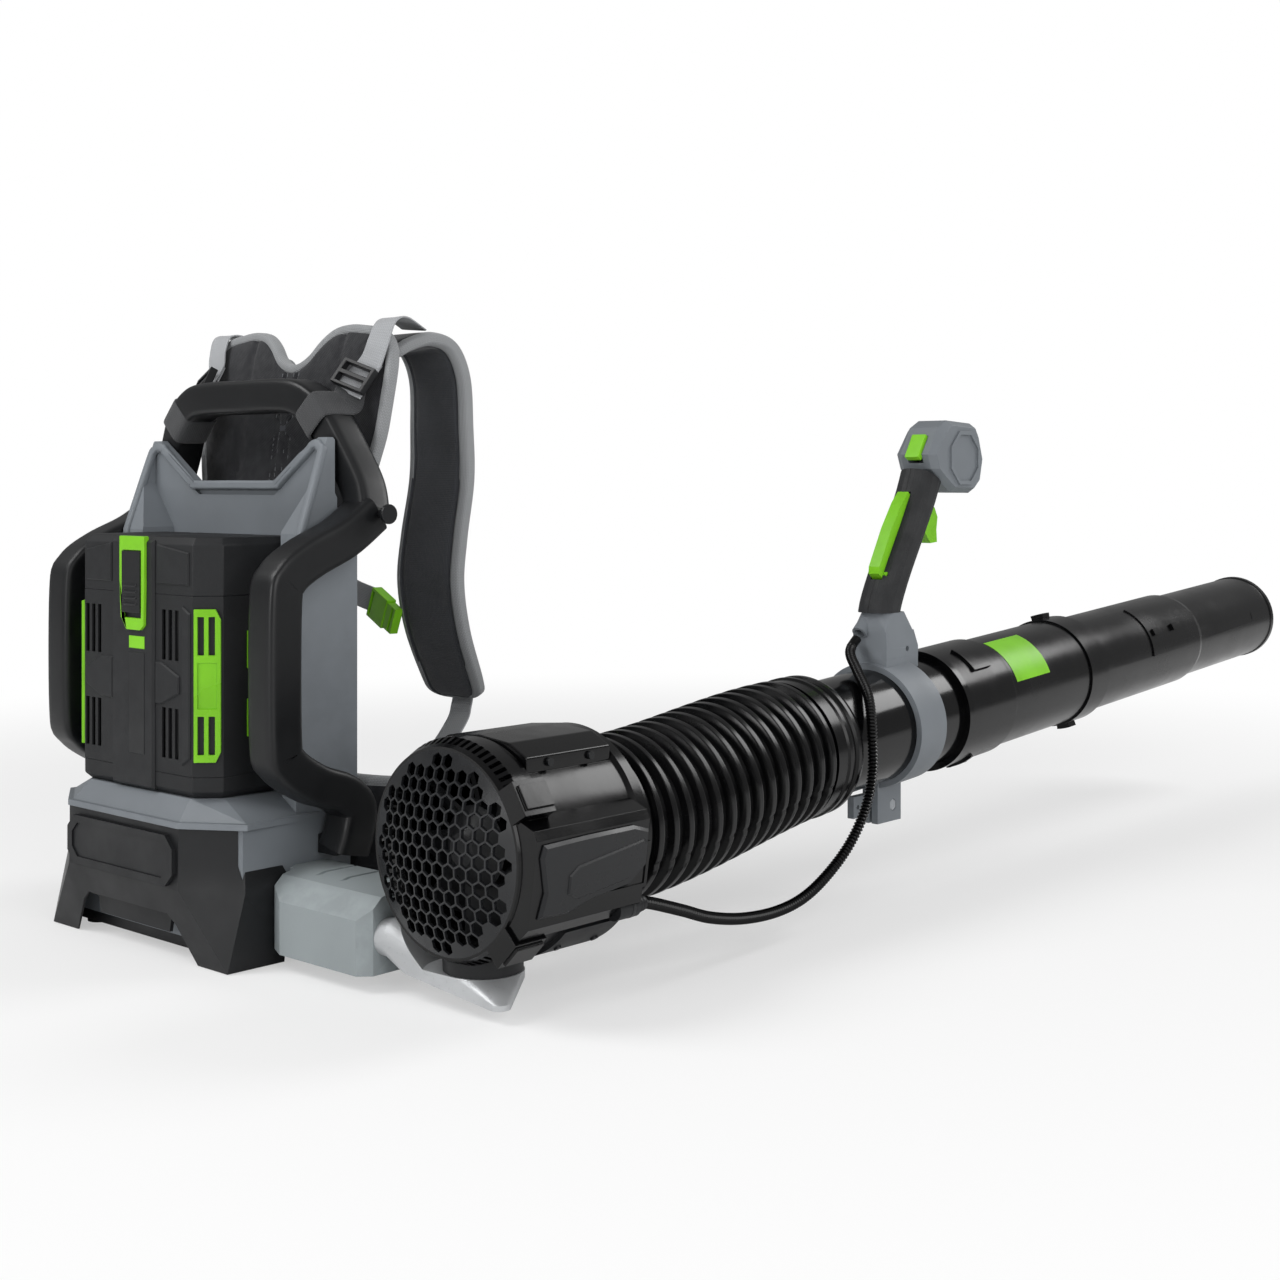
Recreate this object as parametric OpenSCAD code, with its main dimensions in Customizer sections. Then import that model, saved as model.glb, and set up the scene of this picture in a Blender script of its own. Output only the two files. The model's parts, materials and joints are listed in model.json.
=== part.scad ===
// Backpack leaf blower: a pack with battery and harness, a fan housing on a swinging arm,
// a ribbed hose and blowing tubes with a control handle. Millimetres. X points to the
// wearer's right, Y forward, Z up. The origin is on the floor under the middle of the pack.

/* [Base] */
// Width of the base at its widest corners
base_w = 256; // [240:2:270]
// Width of the flat front of the base
base_front_w = 158; // [140:2:170]
// Distance of the flat front behind the origin
base_front = 88; // [84:1:92]
// Distance of the rear of the base in front of the origin
base_rear = 50; // [48:1:54]
// Height of the grey ledge over the floor
ledge_z = 113; // [108:1:116]
// Thickness of the ledge
ledge_t = 5; // [4:0.5:8]
// Wall of the base mouldings
base_wall = 3; // [2:0.25:4]
// Width of the arch under the front
arch_w = 176; // [150:2:180]
// Height of the arch under the front
arch_h = 38; // [28:1:42]
// Diameter of a rubber foot
foot_d = 22; // [16:1:26]
// Height of a rubber foot
foot_h = 3; // [2.5:0.25:4]

/* [Back shell] */
// How far each side of the shell stands past the base
shell_proud = 1; // [0:0.5:3]
// Height of the two peaks of the shell
shell_top = 414; // [406:1:420]
// Height of the bottom of the notch between the peaks
notch_z = 377; // [372:1:384]
// Width of the bottom of the notch
notch_w = 112; // [90:2:130]
// Wall of the shell
shell_wall = 3; // [2:0.25:4]
// Thickness of the rim round the scoop
rim_t = 7; // [4:0.5:9]

/* [Frame] */
// Gap between a side bar and the shell's side
bar_gap = 0.5; // [0.3:0.1:4]
// Width of a side bar
bar_w = 33; // [26:1:33]
// Depth of a side bar
bar_d = 32; // [26:1:36]
// Height of the centre of the carrying handle
handle_z = 450; // [444:1:456]
// Thickness of the carrying handle
handle_t = 29; // [24:1:32]
// Diameter of the disc on the strap hook
hook_d = 16; // [12:1:20]

/* [Battery] */
// Width of the battery
battery_w = 190; // [180:2:192]
// Depth of the battery
battery_d = 91; // [84:1:92]
// Height of the battery
battery_h = 205; // [196:1:214]
// Width of the bevel on the front corners
battery_bevel = 17; // [12:1:20]
// Wall of the battery case
battery_wall = 2.5; // [2:0.25:3.5]
// Height of the battery's top cap
cap_h = 46; // [40:1:54]
// Height of the battery's bottom cap
foot_cap_h = 17; // [12:1:20]
// Diameter of a cell
cell_d = 18.4; // [17:0.2:19]
// Gap between the battery and the bay
bay_gap = 4; // [2:0.5:6]
// Width of the green strip at its top
strip_w = 36; // [34:1:44]
// Width of the battery's release latch
latch_w = 26; // [20:1:28]
// Travel of the release latch
latch_travel = 4; // [3:0.5:6]

/* [Arm] */
// Length of the arm block beside the base
block_l = 122; // [118:1:124]
// Height of the top of the arm block
block_top = 74; // [70:1:78]
// Height of the underside of the arm block
block_z = 13; // [8:1:18]
// Diameter of the arm tube
arm_d = 29; // [24:1:31]
// Height of the arm tube's axis
arm_z = 40; // [38:1:44]
// Depth of the arm tube in its block
arm_grip = 60; // [40:2:80]
// Diameter of the pivot boss
boss_d = 59; // [50:1:62]
// Diameter of the pivot pin
pivot_d = 14; // [10:1:14]
// Radial clearance of the pivot
pivot_gap = 0.06; // [0.04:0.01:0.1]
// Height of the top of the arm's pivot pad
pad_z = 27; // [25:1:29]

/* [Fan] */
// Sideways distance of the fan from the middle of the pack
fan_x = 331; // [326:1:340]
// Distance of the intake behind the origin
fan_back = 36.5; // [34:0.5:40]
// Height of the fan's axis at the intake
fan_z = 116; // [114:1:122]
// Rise of the tubes towards the nozzle, in degrees
line_tilt = 4; // [2:0.5:6]
// Outer radius of the fan barrel
barrel_r = 76; // [74:0.5:78]
// Wall of the fan barrel
barrel_wall = 6; // [4:0.5:8]
// Length of the fan barrel behind its intake ring
barrel_l = 106; // [100:1:116]
// Radius of the intake guard
guard_r = 73; // [70:0.5:74]
// Bulge of the intake guard
guard_bulge = 12; // [8:0.5:14]
// Pitch of the guard's cells
cell_pitch = 10.8; // [9:0.2:14]
// Width of the bars between the guard's cells
cell_bar = 1.4; // [1:0.1:2]
// Length of the slotted intake ring
ring_l = 24; // [20:1:28]
// Largest radius of the slotted intake ring
ring_r = 80.5; // [79:0.5:82]
// Number of slots round the intake ring
ring_slots = 76; // [60:1:84]
// Number of impeller blades
blades = 9; // [7:1:11]
// Radius of the hub and motor pod
hub_r = 30; // [28:0.5:33]
// Gap round the tips of the blades
tip_gap = 1.2; // [0.8:0.1:2]
// Number of stator vanes
vanes = 7; // [5:1:9]
// Diameter of the motor shaft
shaft_d = 8; // [6:0.5:10]

/* [Hose and tubes] */
// Length of the hose with its cuffs
hose_l = 300; // [290:2:310]
// Radius of the ribs of the hose
rib_r = 66; // [64:0.5:67]
// Depth of the grooves between the ribs
rib_depth = 5; // [3:0.5:6]
// Number of ribs
ribs = 14; // [10:1:18]
// Outer radius of the housing's outlet spigot
spigot_r = 57; // [54:0.5:58]
// Outer radius of the rear tube
rear_r = 52; // [50:0.5:52]
// Wall of the tubes
tube_wall = 2.2; // [1.5:0.1:2.4]
// Length of the rear tube that shows
rear_l = 184; // [176:2:200]
// Radius of the middle tube
middle_r = 54.4; // [54.4:0.2:55.4]
// Length of the middle tube
middle_l = 270; // [250:5:290]
// Radius of the couplings at both ends of the middle tube
coupling_r = 57.4; // [57:0.2:59]
// Length of the front tube that shows in front of the middle tube
front_l = 444; // [400:2:460]
// Radius of the front tube
front_r = 51.6; // [50:0.2:51.8]
// Radius of the nozzle
nozzle_r = 48.3; // [46:0.1:49]
// Length of the nozzle in front of its step
nozzle_l = 200; // [170:5:220]
// Travel of the front tube into the middle tube
tube_travel = 100; // [60:5:105]

/* [Handle] */
// Width of the clamp ring along the tube
clamp_l = 42; // [36:1:46]
// Thickness of the clamp ring
clamp_t = 5.6; // [4:0.2:7]
// Running clearance of the clamp ring round the tube
clamp_gap = 0.06; // [0.04:0.01:0.1]
// Width of the grip
grip_w = 36; // [32:1:40]
// Depth of the grip from front to back
grip_d = 38; // [34:1:42]
// Width of the grip's head
head_w = 45; // [42:1:50]
// Radius of the eight-sided disc on the head
disc_r = 28; // [22:1:29]
// Width of the trigger
trigger_w = 12; // [9:0.5:14]
// Width of the cruise lever
lever_w = 12; // [9:0.5:13]
// Width of the boost button
button_w = 16; // [12:0.5:20]
// Travel of the boost button
button_travel = 2; // [1:0.25:2.5]
// Diameter of the control conduit over its ribs
conduit_d = 9.5; // [8:0.5:10]
// Number of ribs on the control conduit
conduit_ribs = 84; // [60:2:90]

/* [Harness] */
// Width of a shoulder pad
pad_w = 76; // [66:1:80]
// Thickness of a shoulder pad
pad_t = 15; // [10:0.5:17]
// Thickness of the yoke
yoke_t = 10; // [7:0.5:12]
// Thickness of the back pad
back_pad_t = 12; // [9:0.5:13]
// Width of the webbing
webbing_w = 26; // [20:1:30]
// Thickness of the webbing
webbing_t = 2; // [1.5:0.1:2.4]
// Height of the hip pads
hip_h = 84; // [70:1:90]

/* [Hidden] */
$fn = 48;

eps = 0.01;
seat_gap = 0.3;                 // a part at rest on another body stays this far off it
soft_fn = 32;

// Colours
black = "#1c1d1f";
satin = "#26272a";
shell_grey = "#7c8288";
block_grey = "#8d9597";
metal = "#c9cbcc";
green = "#7ac320";
fabric = "#2f3033";
binding = "#8a8c8e";
steel = "#9a9da0";

// Pack places
battery_z = ledge_z + 16;
battery_front = base_front - 15;
battery_rear = battery_d - battery_front;
bay_y = battery_rear + 10;
bay_hw = battery_w / 2 + bay_gap;
shell_front = 4;
shell_rear = base_rear;
scoop_z = battery_z + battery_h + 12;
plate_t = 3;
pad_y = shell_rear + seat_gap;

shell_w = base_w + 2 * shell_proud;

// Arm places
block_x0 = base_w / 2 - 5;
block_x1 = block_x0 + block_l + 3;
arm_y = -17;
pivot_x = fan_x;
pivot_y = 37.5 - fan_back;
pin_top = pad_z + 9;
boss_z0 = pad_z + seat_gap;

// Places along the blowing line, from the intake's rim
t_barrel = ring_l;
t_outlet = t_barrel + barrel_l;
spigot_l = 24;
t_hose = t_outlet;
t_hose_end = t_hose + hose_l;
t_rear = t_hose_end - 28;
t_middle = t_hose_end + rear_l;
t_front = t_middle + middle_l;
t_end = t_front + front_l;
t_step = t_end - nozzle_l;
clamp_t0 = t_hose_end + 94;
clamp_mid = clamp_t0 + clamp_l / 2;
bore_r = barrel_r - barrel_wall - 2;
slide_gap = 0.3;
middle_bore = middle_r - tube_wall;
nozzle_bore = nozzle_r - tube_wall;
hose_flex_t = (t_hose + t_hose_end) / 2;

// Handle places, in the plane through the blowing line
clamp_r = rear_r + clamp_gap;
clamp_out = clamp_r + clamp_t;
clamp_y = -fan_back + clamp_mid * cos(line_tilt);
clamp_z = fan_z + clamp_mid * sin(line_tilt);
saddle_z = clamp_z + clamp_out + 3;
bracket_h = 42;
grip_z = saddle_z + bracket_h;
grip_path = [[0, -5, -4], [0, -3, 5], [0, 4, 20], [0, 16, 41], [0, 30, 63], [0, 45, 87], [0, 57, 107], [0, 66, 126]];
head_y = clamp_y + 100;
head_z = grip_z + 147;
button_tilt = 58;

function unit(v) = v / norm(v);
function pick(v, i) = is_list(v) ? v[i] : v;
function at(v, i) = v[max(0, min(len(v) - 1, i))];
function spline(p0, p1, p2, p3, u) =
    0.5 * (2 * p1 + (p2 - p0) * u + (2 * p0 - 5 * p1 + 4 * p2 - p3) * u * u
    + (3 * p1 - p0 - 3 * p2 + p3) * u * u * u);
function smooth(p, n) = concat([for (i = [0:len(p) - 2]) for (k = [0:n - 1])
    spline(at(p, i - 1), p[i], p[i + 1], at(p, i + 2), k / n)], [p[len(p) - 1]]);
function signed_pow(v, e) = sign(v) * pow(abs(v), e);
function along(p, i) = unit(at(p, i + 1) - at(p, i - 1));
function across(t, side) = unit(side - (side * t) * t);

// A closed band along a path. side sets the direction of its width; e squares its section.
module sweep(path, side, w, d, sides = 12, e = 0.6) {
    n = len(path);
    points = [for (i = [0:n - 1])
        let (t = along(path, i), u = across(t, pick_dir(side, i)), v = cross(t, u))
        for (k = [0:sides - 1])
        let (a = 360 * (k + 0.5) / sides)
        path[i] + u * pick(w, i) / 2 * signed_pow(cos(a), e) + v * pick(d, i) / 2 * signed_pow(sin(a), e)];
    skin = [for (i = [0:n - 2]) for (k = [0:sides - 1])
        let (a = i * sides + k, b = i * sides + (k + 1) % sides)
        each [[a, b + sides, b], [a, a + sides, b + sides]]];
    caps = concat([for (k = [1:sides - 2]) [0, k, k + 1]],
        [for (k = [1:sides - 2]) [(n - 1) * sides, (n - 1) * sides + k + 1, (n - 1) * sides + k]]);
    polyhedron(points, concat(skin, caps), convexity = 6);
}
function pick_dir(side, i) = is_list(side[0]) ? side[i] : side;

// Flat work in the XZ plane with a depth along Y, from y0 to y1
module slab_y(points, y0, y1) {
    translate([0, y1, 0]) rotate([90, 0, 0]) linear_extrude(y1 - y0) polygon(points);
}
// Flat work in the YZ plane with a width along X, from x0 to x1
module slab_x(points, x0, x1) {
    translate([x0, 0, 0]) rotate([90, 0, 90]) linear_extrude(x1 - x0) polygon(points);
}
function mirrored(half) = concat(half, [for (i = [len(half) - 1:-1:0]) [-half[i][0], half[i][1]]]);
module mirror_copy() {
    children();
    mirror([1, 0, 0]) children();
}

// Both lines have local Z towards the nozzle, local X to the right and local -Y up
module on_fan(t = 0) {
    translate([fan_x, -fan_back + t, fan_z]) rotate([-90, 0, 0]) children();
}
module on_line(t = 0) {
    translate([fan_x, -fan_back, fan_z]) rotate([line_tilt - 90, 0, 0]) translate([0, 0, t]) children();
}
// A place on the surface: phi turns from the top towards the right
module round_fan(phi, r, t) {
    on_fan(t) rotate([0, 0, phi]) translate([0, -r, 0]) children();
}
module round_line(phi, r, t) {
    on_line(t) rotate([0, 0, phi]) translate([0, -r, 0]) children();
}
module ring(r_out, r_in, t0, t1) {
    translate([0, 0, t0]) difference() {
        cylinder(r = r_out, h = t1 - t0, $fn = 96);
        translate([0, 0, -1]) cylinder(r = r_in, h = t1 - t0 + 2, $fn = 96);
    }
}
module turned(profile) {
    rotate_extrude($fn = 96) polygon(profile);
}
// A part of a wall between two angles from the top
module wall_arc(r_out, r_in, t0, t1, phi0, phi1) {
    translate([0, 0, t0]) rotate([0, 0, phi0 - 90]) rotate_extrude(angle = phi1 - phi0, $fn = 96)
        translate([r_in, 0]) square([r_out - r_in, t1 - t0]);
}
// The handle's plane, upright over the clamp ring
module over_clamp(z = 0) {
    translate([fan_x, clamp_y, z]) children();
}

// ---------------------------------------------------------------- base

function ledge_outline(i) = mirrored([[base_front_w / 2 - i / 2, -base_front + i],
    [base_w / 2 - i, -base_front + 31 + i / 2], [base_w / 2 - 2 - i, -13],
    [base_w / 2 - 6 - i, base_rear - i]]);
function seat_outline() = mirrored([[battery_w / 2 - battery_bevel - 6, -battery_front + 2],
    [battery_w / 2 - 4, -battery_front + battery_bevel + 4], [battery_w / 2 - 1, battery_rear]]);
body_hw = base_w / 2 - 5;
body_front = base_front - 30;

module base_body() {
    color(shell_grey) difference() {
        union() {
            translate([0, 0, ledge_z - ledge_t]) linear_extrude(ledge_t) polygon(ledge_outline(0));
            hull() {
                translate([0, 0, ledge_z - eps]) linear_extrude(eps) polygon(ledge_outline(4));
                translate([0, 0, battery_z - seat_gap - eps]) linear_extrude(eps) polygon(seat_outline());
            }
            translate([-body_hw, -body_front, block_z]) cube([2 * body_hw, body_front + base_rear - 2,
                ledge_z - block_z]);
        }
        translate([-body_hw + base_wall, -body_front + base_wall, block_z - 1])
            cube([2 * (body_hw - base_wall), body_front + base_rear - 2 - 2 * base_wall,
                ledge_z - ledge_t - block_z + 1]);
        translate([-32.1, -30.1, ledge_z - 20]) cube([64.2, 26.2, 60]);
        // The seat is cut back where the shell's walls stand on the ledge
        for (sx = [-1, 1]) translate([sx * (bay_hw + 52) - 50, -shell_front, ledge_z]) cube([100, 100, 30]);
        translate([-base_w, bay_y + 1.9, ledge_z]) cube([2 * base_w, 60, 30]);
        translate([body_hw - base_wall - 1, arm_y, arm_z]) rotate([0, 90, 0])
            cylinder(d = 18, h = base_wall + 2);
    }
}

shroud_top = ledge_z - ledge_t;
shroud_z0 = 0.6;
belly_z = 60;
brow_z = 80;
function shroud_outline(i) = mirrored([[base_front_w / 2 - i / 2, -base_front + 1.5 + i],
    [base_w / 2 - 6 - i, -base_front + 33 + i / 2], [base_w / 2 - 6 - i, -13 + i * 3]]);
function shroud_belly(i) = mirrored([[base_front_w / 2 - i / 2, -base_front + 1 + i],
    [base_w / 2 - i, -base_front + 29 + i / 2], [base_w / 2 - i, -13 + i * 3]]);
function shroud_hem(i) = mirrored([[base_w / 2 - 40 - i / 2, -base_front + 14 + i],
    [base_w / 2 - 2 - i, -base_front + 14 + i / 2], [base_w / 2 - i, -13 + i * 3]]);
function octagon(hw, z0, z1, c) = [[-hw, z0 + c], [-hw + c, z0], [hw - c, z0], [hw, z0 + c],
    [hw, z1 - c], [hw - c, z1], [-hw + c, z1], [-hw, z1 - c]];
module shroud_loft(i) {
    translate([0, 0, brow_z]) linear_extrude(shroud_top - brow_z) polygon(shroud_outline(i));
    hull() {
        translate([0, 0, brow_z]) linear_extrude(eps) polygon(shroud_outline(i));
        translate([0, 0, belly_z]) linear_extrude(eps) polygon(shroud_belly(i));
    }
    hull() {
        translate([0, 0, belly_z]) linear_extrude(eps) polygon(shroud_belly(i));
        translate([0, 0, shroud_z0]) linear_extrude(eps) polygon(shroud_hem(i));
    }
}
module base_shroud() {
    badge_hw = base_front_w / 2 - 3;
    arch = arch_w / 2;
    lip_y = -base_front + 13;
    color(satin) difference() {
        union() {
            difference() {
                shroud_loft(0);
                difference() {
                    shroud_loft(base_wall);
                    translate([-base_w, -200, shroud_top - base_wall]) cube([2 * base_w, 400, base_wall + 1]);
                }
                // Arch between the two corners of the hem
                slab_y([[-arch, -1], [-arch + 21, arch_h - 8], [-arch + 31, arch_h], [arch - 31, arch_h],
                    [arch - 21, arch_h - 8], [arch, -1]], -base_front - 5, -body_front - 2);
            }
            slab_y(octagon(badge_hw, brow_z - 18, shroud_top - 6, 10), -base_front - 2.5, -base_front + 4);
            // Skirt behind the arch, joined to the front by a web over it
            translate([-arch + 34, -base_front + 7, arch_h - 1]) cube([2 * arch - 68, 9, base_wall]);
            slab_y([[-arch + 38, arch_h / 2 + 2], [arch - 38, arch_h / 2 + 2], [arch - 34, arch_h + 1],
                [-arch + 34, arch_h + 1]], lip_y, lip_y + base_wall);
        }
        translate([-body_hw - seat_gap, -body_front - seat_gap, 0])
            cube([2 * (body_hw + seat_gap), 200, ledge_z]);
        slab_y(octagon(badge_hw - 7, brow_z - 12, shroud_top - 12, 8), -base_front - 4, -base_front - 1.2);
        // The sides' rear edge runs in and out along the arm block
        slab_x([[-22, -1], [-18, 42], [-13.5, 60], [-23, 81], [-15, shroud_top + 1], [200, shroud_top + 1],
            [200, -1]], -base_w, base_w);
    }
}

plate_hw = body_hw - base_wall - 0.1;
module bottom_plate() {
    color(satin) difference() {
        union() {
            translate([-plate_hw, -body_front + base_wall + 0.1, foot_h]) cube([2 * plate_hw,
                body_front + base_rear - 2.2 - 2 * base_wall, block_z - foot_h + 4]);
            translate([-50, -34, 0]) cube([100, 60, foot_h + 1]);
        }
        translate([-plate_hw + 3, -body_front + base_wall + 3.5, foot_h + 3])
            cube([2 * plate_hw - 6, body_front + base_rear - 9 - 2 * base_wall, block_z + 2]);
    }
}

module rubber_feet() {
    color(black) for (sx = [-1, 1]) for (y = [-42, 34])
        translate([sx * (plate_hw - 16), y, 0]) cylinder(d = foot_d, h = foot_h);
}

module terminal_block() {
    blade_h = 15;
    color(black) difference() {
        translate([-32, -30, ledge_z - ledge_t - 10]) cube([64, 26, battery_z - ledge_z + ledge_t + 9]);
        for (i = [-2:2]) translate([i * 11 - 1.1, -26, battery_z - 12]) cube([2.2, 18, 20]);
    }
    color(steel) for (i = [-2:2])
        translate([i * 11 - 1, -25, battery_z - 12]) cube([2, 16, blade_h]);
}

module motor_controller() {
    fins = 14;
    color(steel) {
        translate([-70, -40, block_z + 10]) cube([140, 66, 8]);
        for (i = [0:fins - 1]) translate([-68 + i * 10.3, -40, block_z + 18 - eps]) cube([2.4, 66, 26]);
    }
    color(green) for (sx = [-1, 1])
        translate([sx * 60 - 5, -12, foot_h + 3]) cube([10, 10, block_z + 7 - foot_h]);
}

// ---------------------------------------------------------------- shell

rim_y = 30;
shell_profile = [[-shell_front, ledge_z], [shell_rear, ledge_z], [shell_rear, 328], [rim_y, notch_z - 8],
    [rim_y, shell_top + 1], [24, shell_top + 1], [-shell_front, 336]];
function inset_side(p, i) = [[p[0][0] + i, p[0][1] - 1], [p[1][0] + 1, p[1][1] - 1], [p[2][0] + 1, p[2][1] - i],
    [p[3][0] - i, p[3][1] - i], [p[4][0] - i, p[4][1] - i], [p[5][0] + i, p[5][1] - i], [p[6][0] + i, p[6][1]]];
module shell_solid(i) {
    hw = shell_w / 2 - i;
    intersection() {
        slab_y(mirrored([[notch_w / 2 + i / 2, notch_z - i], [notch_w, shell_top - i],
            [hw - 6, shell_top - i], [hw, shell_top - 6 - i], [hw, ledge_z - 1]]), -30, shell_rear + 1);
        slab_x(i > 0 ? inset_side(shell_profile, i) : shell_profile, -shell_w, shell_w);
        translate([0, 0, ledge_z - 2]) linear_extrude(shell_top) polygon(mirrored([
            [shell_w / 2 - 10 - i, -30], [shell_w / 2 - 10 - i, -shell_front],
            [shell_w / 2 - i, shell_rear], [shell_w / 2 - i, shell_rear + 2]]));
    }
}
// Room for the battery below, and the scoop above it
module bay(g) {
    intersection() {
        slab_y(mirrored([[notch_w / 2 - 2, notch_z - rim_t - g], [notch_w - 6, shell_top - rim_t - 2 - g],
            [shell_w / 2 - 9 + g, shell_top - rim_t - 4], [shell_w / 2 - 9 + g, notch_z],
            [bay_hw + g, scoop_z - 8], [bay_hw + g, ledge_z - 2]]), -30, shell_rear + 20);
        slab_x([[-30, ledge_z - 2], [bay_y + g, ledge_z - 2], [bay_y + g, scoop_z - 8],
            [rim_y - rim_t + g, notch_z - rim_t - 1], [rim_y - rim_t + g, shell_top + 2],
            [-30, shell_top + 2]], -shell_w, shell_w);
    }
}
module back_shell() {
    color(shell_grey) difference() {
        shell_solid(0);
        bay(0);
        difference() {
            shell_solid(shell_wall);
            bay(shell_wall);
        }
        // Clears the base's raised seat
        translate([-bay_hw - 2, -30, ledge_z - 2]) cube([2 * bay_hw + 4, 32 + bay_y, battery_z - ledge_z + 4]);
        // The battery lifts out in front of the rim
        translate([-bay_hw, -40, scoop_z]) cube([2 * bay_hw, 40 + battery_rear + 1, shell_top]);
        // Recess for the frame behind the rim
        for (sx = [-1, 1]) translate([sx * (bar_x - 6) - 20, 32, 334]) cube([40, 30, 60]);
    }
}
module rear_panel() {
    hw = shell_w / 2 - shell_wall - 0.8;
    color(satin) slab_y(mirrored([[hw, 322], [hw, ledge_z + 0.1]]), shell_rear - plate_t, shell_rear);
}
module battery_rails() {
    color(black) for (sx = [-1, 1]) difference() {
        translate([sx * 46 - 5, battery_rear - 5, battery_z + 8]) cube([10, bay_y - battery_rear + 5, 180]);
        translate([sx * 46 - 5 - 1, battery_rear - 6, battery_z + 7]) cube([3, 4, 182]);
    }
}

// ---------------------------------------------------------------- frame

bar_x = shell_w / 2 + bar_gap + bar_w / 2;
knee = [bar_x - 1, 47, 352];
top_path = [knee, [bar_x - 10, 50, 373], [bar_x - 26, 48, 399], [bar_x - 46, 43, 430],
    [bar_x - 69, 40, handle_z - 4], [bar_x - 96, 39, handle_z], [0, 39, handle_z]];
function flip(p) = [for (i = [len(p) - 1:-1:0]) [-p[i][0], p[i][1], p[i][2]]];
side_path = [knee, [bar_x, 18, 333], [bar_x, -16, 318], [bar_x, -38, 303], [bar_x, -44, 282],
    [bar_x, -44, 180], [bar_x, -38, 160], [bar_x, -12, 142], [bar_x, 16, 131], [bar_x, 30, 117],
    [bar_x, 28, 100], [bar_x - 3, 25, 84]];
module carry_frame() {
    top = smooth(top_path, 4);
    side = smooth(side_path, 3);
    color(satin) {
        sweep(concat(top, flip([for (i = [0:len(top) - 2]) top[i]])), [0, 1, 0], 30, handle_t, 12, 0.36);
        mirror_copy() {
            sweep(side, [1, 0, 0], bar_w, bar_d, 12, 0.34);
            // Foot of the bar, screwed to the side of the base
            translate([body_hw, 14, 80]) cube([bar_x - body_hw, 22, 16]);
        }
    }
}
module strap_hook() {
    color(black) translate([bar_x - 1 + bar_w / 2, 47, 352]) rotate([0, 90, 0]) cylinder(d = 7, h = 9);
    color(binding) translate([bar_x + 8 + bar_w / 2, 47, 352]) rotate([0, 90, 0]) cylinder(d = hook_d, h = 3);
}

// ---------------------------------------------------------------- arm

module arm_block() {
    color(block_grey) difference() {
        intersection() {
            slab_x([[-41, block_z], [-41, 54], [-24, block_top - 4], [-8, block_top], [22, block_top],
                [30, block_top - 8], [30, block_z]], block_x0, block_x1);
            translate([0, 0, block_z]) linear_extrude(80) polygon([[block_x0, -13], [block_x0 + 5.5, -13],
                [block_x0 + 5.5, -32], [block_x0 + 24, -41],
                [block_x1 - 9, -41], [block_x1, -32], [block_x1, 11], [block_x1 - 13, 30], [block_x0, 30]]);
        }
        translate([block_x1 - arm_grip, arm_y, arm_z]) rotate([0, 90, 0]) cylinder(d = arm_d, h = arm_grip + 1);
        translate([block_x0 - 1, arm_y, arm_z]) rotate([0, 90, 0])
            cylinder(d = 14, h = block_l - arm_grip + 5);
        for (x = [block_x0 + 36, block_x0 + 66]) translate([x, -60, block_top - 2]) cube([4, 120, 3]);
        for (x = [-12, 12]) translate([block_x1 - 28 + x, -30, arm_z - 40])
            translate([0, 13, 0]) cylinder(d = 5, h = 40);
    }
}
module swing_arm() {
    color(metal) difference() {
        union() {
            translate([block_x1 - arm_grip + seat_gap, arm_y, arm_z]) rotate([0, 90, 0])
                cylinder(d = arm_d, h = arm_grip + 8);
            hull() {
                translate([block_x1 + 7, arm_y, arm_z]) rotate([0, 90, 0])
                    cylinder(d = arm_d, h = 4, $fn = soft_fn);
                translate([pivot_x, pivot_y, pad_z - 6]) cylinder(d = boss_d + 1, h = 6, $fn = 48);
                translate([pivot_x + 38, pivot_y - 20, 10]) cylinder(r = 8, h = 4, $fn = soft_fn);
                translate([block_x1 + 34, arm_y - 2, 20]) cylinder(r = 10, h = 4, $fn = soft_fn);
            }
            translate([pivot_x, pivot_y, pad_z - 10]) cylinder(d = pivot_d, h = pin_top - pad_z + 10);
        }
        translate([block_x1 - arm_grip, arm_y, arm_z]) rotate([0, 90, 0]) cylinder(d = 14, h = arm_grip + 4);
        // The housing's boss turns over this cleared face
        translate([pivot_x, pivot_y, pad_z]) difference() {
            cylinder(r1 = boss_d / 2 + 14, r2 = boss_d / 2 + 46, h = 32);
            translate([0, 0, -1]) cylinder(d = pivot_d, h = pin_top - pad_z + 1);
        }
        for (x = [-12, 12]) translate([block_x1 - 28 + x, arm_y, 0]) cylinder(d = 5, h = arm_z);
    }
}
module arm_bolts() {
    color(steel) for (x = [-12, 12]) translate([block_x1 - 28 + x, arm_y, block_z - 2]) {
        cylinder(d = 5, h = arm_z - block_z - 6);
        cylinder(d = 9, h = 2);
    }
}

// ---------------------------------------------------------------- battery

function battery_outline(i) = mirrored([[battery_w / 2 - battery_bevel - i * 0.6, -battery_front + i],
    [battery_w / 2 - i, -battery_front + battery_bevel + i * 0.6], [battery_w / 2 - i, battery_rear - 4],
    [battery_w / 2 - 4 - i, battery_rear - i]]);
case_z0 = battery_z + foot_cap_h;
case_z1 = battery_z + battery_h - cap_h;
module rail_grooves() {
    for (sx = [-1, 1]) translate([sx * 46 - 6, battery_rear - 6, battery_z - 1])
        cube([12, 10, battery_h + 2]);
}
module battery_case() {
    color(satin) difference() {
        translate([0, 0, case_z0]) linear_extrude(case_z1 - case_z0) polygon(battery_outline(0));
        translate([0, 0, case_z0 - 1]) linear_extrude(case_z1 - case_z0 + 2) intersection() {
            polygon(battery_outline(battery_wall));
            translate([-battery_w, -battery_front]) square([2 * battery_w, battery_d - 6 - 2 * battery_wall]);
        }
        rail_grooves();
        vent_slots();
    }
}
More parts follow.
